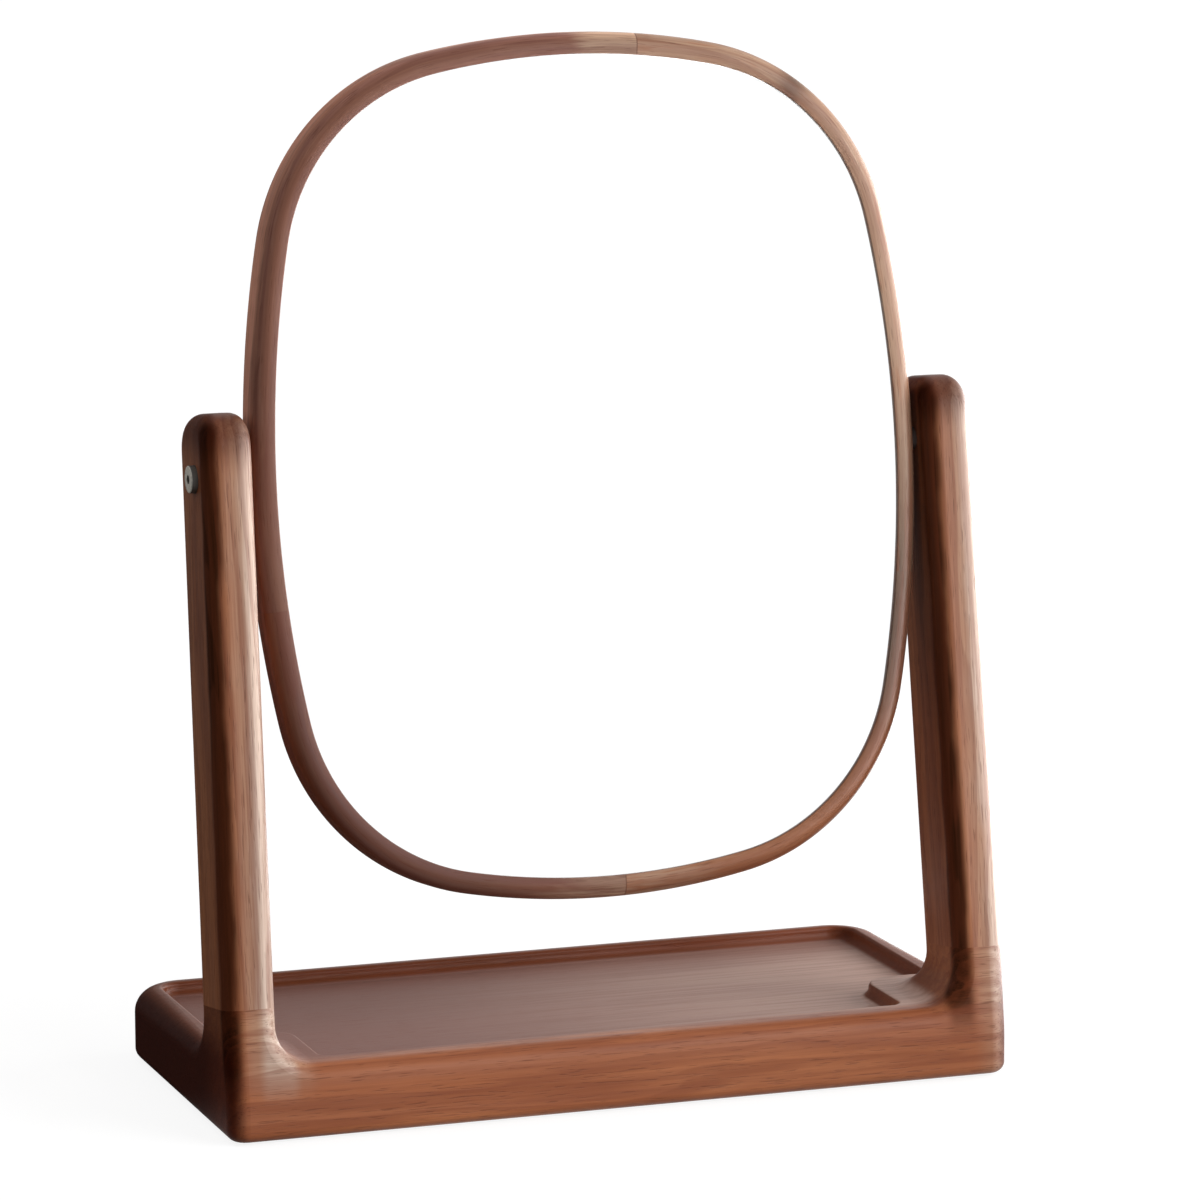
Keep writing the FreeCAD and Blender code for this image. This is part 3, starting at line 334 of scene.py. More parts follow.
class Walnut:
    """Oiled walnut in the making: a board's broad figure, over which streaks and grain are laid."""

    def __init__(self, name, wood, shift, tone, warmth, turned=(0.0, 0.0, 0.0), coolness=0.35,
                 grain_map=None):
        """Starts with the figure and cool streaks.

        The pattern reads Object coordinates, turned so that the grain runs along X, or the named UV map.
        """
        self.wood, self.tone, self.turned, self.lustre = wood, tone, turned, wood.lustre
        self.material, self.tree, self.shader = new_material(name)
        tree = self.tree
        if grain_map:
            place = add(tree, "ShaderNodeUVMap", uv_map=grain_map).outputs[0]
        else:
            coordinates = add(tree, "ShaderNodeTexCoord").outputs
            place, self.normal = coordinates["Object"], coordinates["Normal"]
            self.where = add(tree, "ShaderNodeSeparateXYZ", {"Vector": place}).outputs
        self.vector = add(tree, "ShaderNodeMapping", {"Vector": place, "Location": shift,
                                                      "Rotation": turned}).outputs[0]
        self.grain = wood_grain(tree, self.vector, wood)
        self.pale, middle, self.deep, cool = (
            opaque([tone * tint * part for tint, part in zip(warmth, shade)])
            for shade in (wood.light, wood.middle, wood.dark, wood.mauve))
        self.colour = blend(tree, rise(tree, self.grain.figure, 0.30, 0.68), self.pale, middle)
        streak = stretched_noise(tree, self.vector, wood.streak_width, 26.0, roughness=0.45)
        self.cover(rise(tree, streak, 0.48, 0.72, 0.0, coolness), cool)

    def cover(self, factor, tint, blend_type="MIX"):
        """Lays a colour over the board by a factor."""
        self.colour = blend(self.tree, factor, self.colour, tint, blend_type)

    def dull(self, mask, amount):
        """Takes a share of the lustre where a mask is high."""
        left = calc(self.tree, "SUBTRACT", 1.0, calc(self.tree, "MULTIPLY", mask, amount))
        self.lustre = calc(self.tree, "MULTIPLY", left, self.lustre)

    def edge_streak(self, line, reach, waver):
        """How near a place is to the leaning line x = a + b z, y = c + d z.

        waver is a length that moves the streak's side in and out along the grain.
        """
        offsets = []
        for axis, (start, slope) in zip("XY", line):
            on_line = calc(self.tree, "MULTIPLY_ADD", self.where["Z"], slope, start)
            offsets.append(calc(self.tree, "SUBTRACT", self.where[axis], on_line))
        apart = calc(self.tree, "ADD", distance(self.tree, *offsets), waver)
        return rise(self.tree, apart, reach, 0.45 * reach)

    def line_edges(self, streaks, highlight_lines, shade_lines, shade_reach, waver=0.0, highlight_fade=1.0,
                   shade_fade=1.0):
        """A painted highlight in two pale colours along the lamp-side edges, and painted shade along the
        far-side edges, where the lustre is taken down too.
        """
        tree, wood = self.tree, self.wood
        # Painted highlight: two pale colours along each edge on the lamp side
        for line in highlight_lines:
            for reach, tint in ((streaks.highlit_reach, wood.highlit), (streaks.glint_reach, wood.painted_light_tone)):
                streak = calc(tree, "MULTIPLY", self.edge_streak(line, reach, waver), highlight_fade)
                self.cover(calc(tree, "MULTIPLY", streak, streaks.pale_strength), opaque(tint))
        # Painted shade: a dark colour along each edge on the far side, with less lustre
        for line in shade_lines:
            streak = calc(tree, "MULTIPLY", self.edge_streak(line, shade_reach, waver), shade_fade)
            self.cover(calc(tree, "MULTIPLY", streak, streaks.dark_strength),
                       opaque([streaks.dark_tone * part for part in wood.dark]))
            self.dull(streak, streaks.dulling)

    def lay_grain(self):
        """Veins, late wood, fibres and pores."""
        tree, grain = self.tree, self.grain
        self.cover(rise(tree, grain.vein, 0.42, 0.72, 0.0, 0.40), self.deep)
        self.cover(calc(tree, "MULTIPLY", grain.late, 0.42), self.deep)
        self.cover(rise(tree, grain.fibre, 0.35, 0.75, 0.0, 0.30), self.deep)
        self.cover(calc(tree, "MULTIPLY", grain.pore, 0.45), opaque(self.wood.pore))

    def along_grain(self):
        """The part of the surface's direction that runs along the grain."""
        facing = add(self.tree, "ShaderNodeMapping", {"Vector": self.normal, "Rotation": self.turned},
                     vector_type="VECTOR").outputs[0]
        return add(self.tree, "ShaderNodeSeparateXYZ", {"Vector": facing}).outputs["X"]

    def open_end(self, facing):
        """A mask for the open ends of a board, from how far they face along the grain."""
        return rise(self.tree, facing, 0.10, 0.85, 0.0, self.wood.end_grain)

    def darken_ends(self, end):
        """End grain by a mask: darker and less lustrous."""
        self.cover(end, opaque([self.tone * part for part in self.wood.dark]), "MULTIPLY")
        self.dull(end, 0.6)

    def finished(self):
        """The material, with its colour, satin gloss and the relief of fibres and pores."""
        tree, grain = self.tree, self.grain
        sheen = calc(tree, "MULTIPLY_ADD", grain.fibre, 0.16, self.wood.satin - 0.08)
        rough = calc(tree, "MULTIPLY_ADD", grain.pore, 0.15, sheen, clamp=True)
        relief = calc(tree, "SUBTRACT", calc(tree, "MULTIPLY", grain.fibre, 0.5), grain.pore)
        bump = add(tree, "ShaderNodeBump", {"Height": relief, "Strength": 0.22, "Distance": 0.00025})
        feed(tree, self.shader, {"Base Color": self.colour, "Specular IOR Level": self.lustre,
                                 "Roughness": rough, "Normal": bump.outputs[0]})
        return self.material


def tray_mask(walnut):
    """How far a place on the base is tray floor or web: level, and inside and below the rim."""
    tree, where = walnut.tree, walnut.where
    level = add(tree, "ShaderNodeSeparateXYZ", {"Vector": walnut.normal}).outputs["Z"]
    mask = rise(tree, level, 0.75, 0.97, 0.0, 0.8)
    across = calc(tree, "ABSOLUTE", where["X"])
    for source, limits in ((across, TRAY_SIDES), (where["Y"], TRAY_FRONT), (where["Y"], TRAY_REAR),
                           (where["Z"], TRAY_TOP)):
        mask = calc(tree, "MULTIPLY", mask, rise(tree, source, *limits))
    return mask


def tray_floor(walnut):
    """Colour of the tray's floor: paler grey to the right as painted sheen, redder to the left where
    that sheen fades, redder to the back as painted shade, and redder along the veins.
    """
    tree, wood, where = walnut.tree, walnut.wood, walnut.where
    red = opaque(wood.tray_left)
    floor = blend(tree, rise(tree, where["X"], *TRAY_PAINTED_SHEEN), red, opaque(wood.tray))
    floor = blend(tree, rise(tree, walnut.grain.vein, 0.40, 0.66, 0.0, 0.35), floor, red)
    return blend(tree, rise(tree, where["Y"], *TRAY_PAINTED_REAR_SHADE, 0.0, 0.7), floor, red)


def base_walnut(name, wood, streaks, highlight_lines, shade_lines):
    """Walnut of the base: painted shade behind its front, stubs of another tone, and a tray floor with
    painted sheen and painted shade.
    """
    walnut = Walnut(name, wood, shift=(0.31, 0.17, 0.035), tone=1.27, warmth=(1.0, 1.0, 1.25))
    tree, where = walnut.tree, walnut.where
    # Painted shade: from its front edge backwards the base goes almost to the dark wood
    walnut.cover(rise(tree, where["Y"], *PAINTED_REAR_SHADE, 0.0, 0.95),
                 opaque([0.9 * part for part in wood.dark]))
    walnut.cover(rise(tree, where["X"], *RIGHT_DARKENING, 0.0, 0.25), walnut.deep)
    stub = rise(tree, where["Z"], *STUBS)
    walnut.cover(calc(tree, "MULTIPLY", stub, 0.8), opaque(wood.stub))
    # The painted highlight and painted shade of the posts' edges carry on down the stubs; the shade
    # fades towards the floor
    lifted = rise(tree, where["Z"], *STREAK_FOOT)
    kept = calc(tree, "MAXIMUM", lifted, rise(tree, where["X"], *RIGHT_END, 0.0, 0.6))
    walnut.line_edges(streaks, highlight_lines, shade_lines, streaks.foot_reach, highlight_fade=kept,
                      shade_fade=lifted)
    walnut.lay_grain()
    tray = tray_mask(walnut)
    # Painted sheen and painted shade on the tray's floor, whose own lustre is taken away
    walnut.cover(tray, tray_floor(walnut))
    walnut.dull(tray, 1.0)
    outward = calc(tree, "MULTIPLY", walnut.along_grain(), calc(tree, "SIGN", where["X"]))
    less_on_stub = calc(tree, "MULTIPLY_ADD", stub, -0.5, 1.15)
    walnut.darken_ends(calc(tree, "MULTIPLY", walnut.open_end(outward), less_on_stub, clamp=True))
    return walnut.finished()


def post_walnut(name, wood, streaks, shift, warmth, highlight_line, shade_line):
    """Walnut of a leaning post, with a wavering painted highlight along one front edge, wavering painted
    shade along the other, and a darker rounded top.
    """
    walnut = Walnut(name, wood, shift, 1.1, warmth, turned=(POST_LEAN, math.pi / 2, 0.0))
    tree = walnut.tree
    wave = calc(tree, "SUBTRACT", stretched_noise(tree, walnut.vector, 0.010, 3.0), 0.5)
    waver = calc(tree, "MULTIPLY", wave, streaks.waver)
    walnut.line_edges(streaks, (highlight_line,), (shade_line,), streaks.shade_reach, waver)
    walnut.lay_grain()
    end = walnut.open_end(calc(tree, "ABSOLUTE", walnut.along_grain()))
    walnut.darken_ends(calc(tree, "MAXIMUM", end, rise(tree, walnut.where["Z"], *POST_TOP, 0.0, 0.70)))
    return walnut.finished()


def frame_walnut(name, wood, shift, tone, coolness, warmth, grain_map):
    """Walnut of a frame piece, toned by the numbers on its mesh: ragged pale wood, partly a painted
    highlight; shade, partly painted light and shade; and glue.
    """
    walnut = Walnut(name, wood, shift, tone, warmth, coolness=coolness, grain_map=grain_map)
    tree = walnut.tree
    sapwood_and_highlight, shade, glue = (add(tree, "ShaderNodeAttribute", attribute_name=kind).outputs
                            for kind in ("sapwood_and_highlight", "shade", "glue"))
    finger = calc(tree, "SUBTRACT", stretched_noise(tree, walnut.vector, wood.finger_width, 9.0), 0.5)
    ragged = calc(tree, "MULTIPLY_ADD", finger, 0.9, sapwood_and_highlight["Fac"])
    walnut.cover(rise(tree, ragged, 0.25, 0.75), opaque(wood.sapwood_and_highlight))
    walnut.cover(rise(tree, finger, 0.02, 0.22, 0.0, 0.5), walnut.pale)
    walnut.cover(1.0, shade["Color"], "MULTIPLY")
    walnut.lay_grain()
    walnut.cover(calc(tree, "MULTIPLY", glue["Fac"], 0.75), opaque(wood.pore))
    return walnut.finished()


def plain_wood(name, wood, light, dark, turned, growth):
    """A paler or stained wood with simple growth lines and fibres along the turned X axis."""
    material, tree, shader = new_material(name)
    place = add(tree, "ShaderNodeTexCoord").outputs["Object"]
    vector = add(tree, "ShaderNodeMapping", {"Vector": place, "Rotation": turned,
                                             "Location": (0.0, 0.13, 0.21)}).outputs[0]
    figure = stretched_noise(tree, vector, growth, 18.0, detail=4.0, distortion=0.4)
    fibre = stretched_noise(tree, vector, wood.fibre_width, 30.0, detail=2.0)
    board = blend(tree, rise(tree, figure, 0.35, 0.66), opaque(light), opaque(dark))
    board = blend(tree, rise(tree, fibre, 0.45, 0.8, 0.0, 0.5), board, opaque(dark))
    bump = add(tree, "ShaderNodeBump", {"Height": fibre, "Strength": 0.2, "Distance": 0.0002})
    feed(tree, shader, {"Base Color": board, "Specular IOR Level": wood.lustre,
                        "Roughness": calc(tree, "MULTIPLY_ADD", fibre, 0.25, 0.42),
                        "Normal": bump.outputs[0]})
    return material


def silvered_glass(name, silver):
    """Silvered glass: a bright metal face with the faintest haze where it was wiped."""
    material, tree, shader = new_material(name)
    place = add(tree, "ShaderNodeTexCoord").outputs["Object"]
    haze = add(tree, "ShaderNodeTexNoise", {"Vector": place, "Scale": 18.0, "Detail": 4.0,
                                            "Distortion": 1.2}).outputs["Fac"]
    feed(tree, shader, {"Base Color": opaque(silver), "Metallic": 1.0,
                        "Roughness": rise(tree, haze, 0.4, 0.8, 0.004, 0.02)})
    return material


def turned_metal(name, tint, roughness, metallic=1.0, rim=1.0, lustre=0.5):
    """Metal turned on a lathe: fine rings round the pivot axis, small stains, and sides that face away
    from the axis toned by the rim factor, which paints shade on them when below one.
    """
    material, tree, shader = new_material(name)
    place = add(tree, "ShaderNodeTexCoord").outputs["Object"]
    vector = add(tree, "ShaderNodeMapping", {
        "Vector": place, "Location": (0.0, -PIVOT[1], -PIVOT[2])}).outputs[0]
    parts = add(tree, "ShaderNodeSeparateXYZ", {"Vector": vector}).outputs
    reach, groove_gap = distance(tree, parts["Y"], parts["Z"]), 0.00018
    groove = calc(tree, "SINE", calc(tree, "MULTIPLY", reach, 2.0 * math.pi / groove_gap))
    stain = add(tree, "ShaderNodeTexNoise", {"Vector": place, "Scale": 900.0,
                                             "Detail": 3.0}).outputs["Fac"]
    painted_light_tone = blend(tree, rise(tree, stain, 0.35, 0.7), opaque(tint), opaque([0.72 * c for c in tint]))
    normal = add(tree, "ShaderNodeTexCoord").outputs["Normal"]
    facing = add(tree, "ShaderNodeSeparateXYZ", {"Vector": normal}).outputs
    across = calc(tree, "ABSOLUTE", facing["X"])
    # Painted shade: faces that do not look along the pivot axis take the rim factor times the tint
    painted_light_tone = blend(tree, rise(tree, across, 0.75, 0.35), painted_light_tone, opaque([rim * c for c in tint]))
    bump = add(tree, "ShaderNodeBump", {"Height": groove, "Strength": 0.12, "Distance": 0.00002})
    feed(tree, shader, {"Base Color": painted_light_tone, "Metallic": metallic, "Specular IOR Level": lustre,
                        "Roughness": rise(tree, stain, 0.3, 0.7, roughness - 0.06, roughness + 0.08),
                        "Normal": bump.outputs[0]})
    return material


def speckled(name, tint, spot, roughness, relief, contrast):
    """A dull material with spots of two sizes and a bump: felt, foam or moulded plastic."""
    material, tree, shader = new_material(name)
    place = add(tree, "ShaderNodeTexCoord").outputs["Object"]
    coarse = add(tree, "ShaderNodeTexNoise", {"Vector": place, "Scale": 1.0 / spot, "Detail": 5.0,
                                              "Roughness": 0.65}).outputs["Fac"]
    cell = add(tree, "ShaderNodeTexVoronoi", {"Vector": place, "Scale": 1.6 / spot}).outputs["Distance"]
    height = calc(tree, "ADD", coarse, calc(tree, "MULTIPLY", cell, 0.5))
    tinted = blend(tree, rise(tree, height, 0.45, 1.0), opaque([c * (1.0 - contrast) for c in tint]),
                   opaque(tint))
    bump = add(tree, "ShaderNodeBump", {"Height": height, "Strength": 0.4, "Distance": relief})
    feed(tree, shader, {"Base Color": tinted, "Normal": bump.outputs[0],
                        "Roughness": rise(tree, coarse, 0.3, 0.7, roughness - 0.08, roughness)})
    return material


def finish_nodes(material, *names):
    """Puts a material into every slot of the named CAD nodes."""
    for name in names:
        for place in frame["nodes"][name].material_slots:
            place.material = material


def arc_centres(sizes):
    """Middles of the side, top and corner arcs in the upper right quarter of the opening.

    The corner's middle is where a circle round the side's middle, of side radius less corner radius,
    meets one round the top's middle, of top radius less corner radius.
    """
    side = np.array((sizes.opening_width / 2 - sizes.side_radius, 0.0))
    top = np.array((0.0, sizes.opening_height / 2 - sizes.top_radius))
    reach_side = sizes.side_radius - sizes.corner_radius
    reach_top = sizes.top_radius - sizes.corner_radius
    apart = np.linalg.norm(top - side)
    along = (reach_side ** 2 - reach_top ** 2 + apart ** 2) / (2 * apart)
    off = math.sqrt(reach_side ** 2 - along ** 2)
    line = (top - side) / apart
    corner = side + along * line + off * np.array((-line[1], line[0]))
    return side, top, corner


def arc_at(sizes, angle):
    """Middle and radius of the arc whose outward direction is the given angle, for a whole array."""
    side, top, corner = arc_centres(sizes)
    side_end = math.atan2(corner[1] - side[1], corner[0] - side[0])
    top_start = math.atan2(corner[1] - top[1], corner[0] - top[0])
    folded = np.arctan2(np.abs(np.sin(angle)), np.abs(np.cos(angle)))
    on_side, on_top = folded < side_end, folded > top_start
    radius = np.where(on_side, sizes.side_radius,
                      np.where(on_top, sizes.top_radius, sizes.corner_radius))
    middle = np.where(on_side[:, None], side, np.where(on_top[:, None], top, corner))
    signs = np.stack((np.where(np.cos(angle) < 0, -1.0, 1.0),
                      np.where(np.sin(angle) < 0, -1.0, 1.0)), 1)
    return middle * signs, radius


def even_angles(sizes, start, end, gap, joint_rows):
    """Outward angles from start to end at even steps of arc length, with close rows at both joints.

    Arc length is the running sum of radius times angle step; the wanted lengths are looked up in it.
    Returns the angles and their arc lengths.
    """
    fine = np.linspace(start, end, 20001)
    _, radius = arc_at(sizes, fine)
    run = np.concatenate(((0.0,), np.cumsum(0.5 * (radius[1:] + radius[:-1]) * np.diff(fine))))
    inner = np.linspace(joint_rows[-1], run[-1] - joint_rows[-1], int(run[-1] / gap))
    wanted = np.concatenate((joint_rows[:-1], inner, run[-1] - joint_rows[-2::-1]))
    return np.interp(wanted, run, fine), wanted


def frame_profile(sizes):
    """The frame's section as offsets outwards from the opening and depths behind the front face.

    Round the section: broken lip edge, flat face, quarter round of the front edge, straight outer wall,
    quarter round of the rear edge, flat back, rabbet wall and the underside of the lip.
    """
    quarter = np.linspace(0.0, math.pi / 2, 13)
    small = np.linspace(0.0, math.pi / 2, 5)
    edge, front, rear = sizes.edge_break, sizes.front_round, sizes.rear_round
    outer, deep = sizes.face_width, sizes.depth
    offset = np.concatenate((
        edge - edge * np.cos(small), outer - front + front * np.sin(quarter), (outer, outer),
        outer - rear + rear * np.cos(quarter), (sizes.rabbet,), np.full(4, sizes.rabbet), (0.0,)))
    depth = np.concatenate((
        edge - edge * np.sin(small), front - front * np.cos(quarter),
        np.linspace(front, deep - rear, 4)[1:-1], deep - rear + rear * np.sin(quarter), (deep,),
        np.linspace(deep, sizes.lip, 5)[1:], (sizes.lip,)))
    return offset, depth


def place_on_mirror(sizes, across, back, up):
    """Points of the mirror's own plane in the shared frame, leant back by the tilt about the pivot."""
    lean_sin, lean_cos = math.sin(sizes.tilt), math.cos(sizes.tilt)
    lifted = up - sizes.pivot_above_middle
    return np.stack((across, PIVOT[1] + back * lean_cos + lifted * lean_sin,
                     PIVOT[2] - back * lean_sin + lifted * lean_cos), -1)


def swept_mesh(name, grid, along, around, grain_map, tones):
    """A closed section swept along a path: a quad for every step both ways, and a flat cap at each end.

    grid holds one row of section points for each step; along and around are the lengths for the UV map,
    and tones holds a number for each point under the name of its attribute.
    """
    rows, columns = grid.shape[:2]
    row, column = np.meshgrid(np.arange(rows - 1), np.arange(columns), indexing="ij")
    beside = (column + 1) % columns
    quads = np.stack((row * columns + column, (row + 1) * columns + column,
                      (row + 1) * columns + beside, row * columns + beside), -1).reshape(-1, 4)
    u = np.stack((along[row], along[row + 1], along[row + 1], along[row]), -1).reshape(-1)
    v = np.stack((around[column], around[column],
                  around[column + 1], around[column + 1]), -1).reshape(-1)
    first, last = np.arange(columns), (rows - 1) * columns + np.arange(columns)[::-1]
    points = grid.reshape(-1, 3)
    corners = points[quads]
    middle = points.mean(axis=0)
    facing = np.cross(corners[:, 2] - corners[:, 0], corners[:, 3] - corners[:, 1])
    swap = np.einsum("ij,ij->", corners.mean(axis=1) - middle, facing) < 0
    faces = [*quads.tolist(), first.tolist(), last.tolist()]
    u = np.concatenate((u, np.full(columns, along[0]), np.full(columns, along[-1])))
    v = np.concatenate((v, around[:-1], around[:-1][::-1]))
    mesh = bpy.data.meshes.new(name)
    mesh.from_pydata(points.tolist(), [], faces)
    layer = mesh.uv_layers.new(name=grain_map)
    layer.data.foreach_set("uv", np.stack((u, v), -1).astype(np.float32).ravel())
    for tone, values in tones.items():
        numbers = mesh.attributes.new(tone, "FLOAT", "POINT")
        numbers.data.foreach_set("value", values.astype(np.float32).ravel())
    if swap:
        mesh.flip_normals()
    mesh.polygons.foreach_set("use_smooth", np.ones(len(faces), dtype=bool))
    mesh.set_sharp_from_angle(angle=math.radians(32.0))
    mesh.update()
    return mesh


def add_piece(name, mesh, body, finish_slot, material, *replaced):
    """A piece at the origin that rides on a body and stands for CAD nodes."""
    piece = bpy.data.objects.new(name, mesh)
    bpy.context.scene.collection.objects.link(piece)
    mesh.materials.append(material)
    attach(piece, body)
    if replaced:
        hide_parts(*replaced)
    return piece


class VANITY_OT_stand(bpy.types.Operator):
    """Finishes the base with its tray and the two leaning posts in walnut"""

    bl_idname = "vanity.stand"
    bl_label = "Walnut stand"

    def execute(self, context):
        wood, streaks = context.scene.vanity_wood, context.scene.vanity_streaks
        left_inner, left_outer = (tuple(-part for part in line) for line in (INNER_LINE, OUTER_LINE))
        # Painted highlights run along the front edges on the lamp side, painted shade along the front
        # edges on the far side
        left_highlight, right_highlight = (left_inner, FRONT_LINE), (OUTER_LINE, FRONT_LINE)
        left_shade, right_shade = (left_outer, SIDE_LINE), (INNER_LINE, SIDE_LINE)
        finish_nodes(base_walnut("base_walnut", wood, streaks, (left_highlight, right_highlight),
                                 (left_shade, right_shade)), "base_tray")
        finish_nodes(post_walnut("left_post_walnut", wood, streaks, (0.12, 0.06, 0.21),
                                 (1.02, 1.03, 1.3), left_highlight, left_shade), "left_post")
        finish_nodes(post_walnut("right_post_walnut", wood, streaks, (0.47, -0.08, -0.02),
                                 (1.02, 1.05, 1.4), right_highlight, right_shade), "right_post")
        return {"FINISHED"}


def frame_tones(sizes, run, angle, along, across, up, section):
    """Glue, shade and sapwood of a frame piece: a number for each of its points.

    A left piece darkens downwards, less so near the bottom joint, and its outer wall is lighter higher
    up as painted light. A right piece has a grey stretch below the pivot, and a dark patch lies at the
    upper right. The underside of the lip is darkened as painted shade. Sapwood covers the right side
    down to its lower corner, where the pale colour is partly a painted highlight, and both sides of the
    top and bottom joints.
    """
    offset, depth = section
    height, sideways, to_end = up[:, 0], across[:, 0], along[-1] - along
    from_joint = np.minimum(along, to_end)
    seen = np.where(np.abs(sideways) < 0.06, 1.0, 0.15)
    glue = np.clip(1.0 - from_joint / GLUE_WIDTH, 0.0, 1.0) * seen
    wall = np.clip((depth - 0.0006) / 0.005, 0.0, 1.0) * (offset > sizes.rabbet + 1e-6)
    wall = wall * np.clip((sizes.depth - depth) / sizes.rear_round, 0.0, 1.0)
    if run.endswith("left"):
        low = np.clip((0.06 - height) / 0.18, 0.0, 1.0) * np.clip(-sideways / 0.05, 0.35, 1.0)
        # Painted light: the outer wall of a left piece is lightened, less so lower down
        shade, layer = 1.0 - 0.45 * low, 0.85 + 2.2 * wall * (1.0 - low[:, None])
        sapwood_and_highlight = np.zeros_like(along)
    else:
        grey = np.exp(-((height + 0.065) / 0.06) ** 2)
        shade, layer = 1.0 - 0.80 * grey, np.ones_like(wall)
        # Partly painted highlight: a right piece is pale wood down to its lower corner, standing in also
        # for the lamp's highlight
        sapwood_and_highlight = np.clip((height + 0.12) / 0.06, 0.0, 1.0)
    if run == "upper_left":
        sapwood_and_highlight = np.clip(1.5 - along / 0.022, 0.0, 1.0)
    elif run == "lower_left":
        sapwood_and_highlight = 0.6 * np.clip(1.2 - to_end / 0.05, 0.0, 1.0)
    elif run == "lower_right":
        sapwood_and_highlight = np.maximum(sapwood_and_highlight, 0.55 * np.clip(1.2 - along / 0.07, 0.0, 1.0))
    dark_patch = np.exp(-((angle - math.radians(54.0)) / math.radians(5.0)) ** 2)
    # Painted shade: the underside of the lip is darkened to three tenths
    under_lip = (offset < 1e-4) & (depth > 1e-5)
    shade = (shade * (1.0 - 0.7 * dark_patch))[:, None] * np.where(under_lip, 0.3, layer)
    return {name: np.broadcast_to(np.reshape(values, (len(along), -1)), across.shape)
            for name, values in (("glue", glue), ("shade", shade), ("sapwood_and_highlight", sapwood_and_highlight))}


class VANITY_OT_oval_frame(bpy.types.Operator):
    """Makes the four glued pieces of the oval frame, with the grain along the curve"""

    bl_idname = "vanity.oval_frame"
    bl_label = "Oval frame"

    def execute(self, context):
        wood, sizes = context.scene.vanity_wood, context.scene.vanity_frame
        top = math.acos(sizes.top_joint / sizes.top_radius)
        bottom = math.acos(sizes.bottom_joint / sizes.top_radius)
        side = math.asin(sizes.side_joint / sizes.side_radius)
        spans = {
            "upper_left": (top, math.pi + side),
            "lower_left": (math.pi + side, 2 * math.pi - bottom),
            "lower_right": (-bottom, -side),
            "upper_right": (-side, top),
        }
        offset, depth = frame_profile(sizes)
        steps = np.hypot(np.diff(offset, append=offset[0]), np.diff(depth, append=depth[0]))
        around = np.concatenate(((0.0,), np.cumsum(steps)))
        for number, (run, (start, end)) in enumerate(spans.items()):
            angle, along = even_angles(sizes, start, end, ROW_GAP, JOINT_ROWS)
            middle, radius = arc_at(sizes, angle)
            reach = radius[:, None] + offset[None, :]
            across = middle[:, :1] + reach * np.cos(angle)[:, None]
            up = middle[:, 1:] + reach * np.sin(angle)[:, None]
            back = np.broadcast_to(depth - sizes.setback, across.shape)
            grid = place_on_mirror(sizes, across, back, up)
            tones = frame_tones(sizes, run, angle, along, across, up, (offset, depth))
            mesh = swept_mesh(f"oval_frame_{run}", grid, along, around, "Grain", tones)
            shift = (0.37 * number, 0.03 + 0.02 * number, 0.11)
            material = frame_walnut(f"frame_walnut_{run}", wood, shift, *FRAME_BOARDS[run], "Grain")
            add_piece(f"oval_frame_{run}", mesh, "mirror", "walnut", material, f"frame_{run}")
        return {"FINISHED"}


class VANITY_OT_glass(bpy.types.Operator):
    """Silvers the glass and finishes the foam, the board and the points that hold it"""

    bl_idname = "vanity.glass"
    bl_label = "Glass and back"

    def execute(self, context):
        wood, finishes = context.scene.vanity_wood, context.scene.vanity_finishes
        upright = (0.0, math.pi / 2, 0.0)
        finish_nodes(silvered_glass("silvered_glass", finishes.silver), "mirror_glass")
        finish_nodes(speckled("backing_foam", finishes.foam, 0.0012, 0.95, 0.0002, 0.25),
                     "glass_backing_foam")
        finish_nodes(plain_wood("back_veneer", wood, finishes.board_light, finishes.board_dark, upright,
                                0.012), "back_board")
        finish_nodes(turned_metal("point_steel", finishes.steel, 0.5, metallic=0.05, lustre=0.15),
                     "retaining_points")
        return {"FINISHED"}


class VANITY_OT_pivots(bpy.types.Operator):
    """Finishes the bolts, washers, bushes and inserts that the mirror tilts on"""

    bl_idname = "vanity.pivots"
    bl_label = "Pivots"

    def execute(self, context):
        finishes = context.scene.vanity_finishes
        sides = ("left", "right")
        # The rim factor of 0.12 paints shade on the sides of the bolt heads and washers
        finish_nodes(turned_metal("bolt_steel", finishes.plated, 0.42, metallic=0.05, rim=0.12),
                     *(f"{side}_{part}" for side in sides for part in ("pivot_bolt", "head_washer")))
        finish_nodes(turned_metal("insert_brass", finishes.brass, 0.32),
                     *(f"{side}_threaded_insert" for side in sides))
        finish_nodes(speckled("washer_nylon", finishes.nylon, 0.0006, 0.5, 0.00002, 0.12),
                     *(f"{side}_{part}" for side in sides for part in ("post_bush", "friction_washer")))
        return {"FINISHED"}


class VANITY_OT_pads_and_dowels(bpy.types.Operator):
    """Finishes the felt pads under the base and the dowels inside the joints"""

    bl_idname = "vanity.pads_and_dowels"
    bl_label = "Pads and dowels"

    def execute(self, context):
        wood, finishes = context.scene.vanity_wood, context.scene.vanity_finishes
        finish_nodes(speckled("pad_felt", finishes.felt, 0.0005, 1.0, 0.0003, 0.45),
                     *(f"{end}_{side}_foot_pad" for end in ("front", "rear")
                       for side in ("left", "right")))
        finish_nodes(plain_wood("dowel_beech", wood, finishes.beech_light, finishes.beech_dark,
                                (0.0, math.pi / 2, 0.0), 0.002),
                     "left_post_dowels", "right_post_dowels", "frame_joint_dowels")
        return {"FINISHED"}


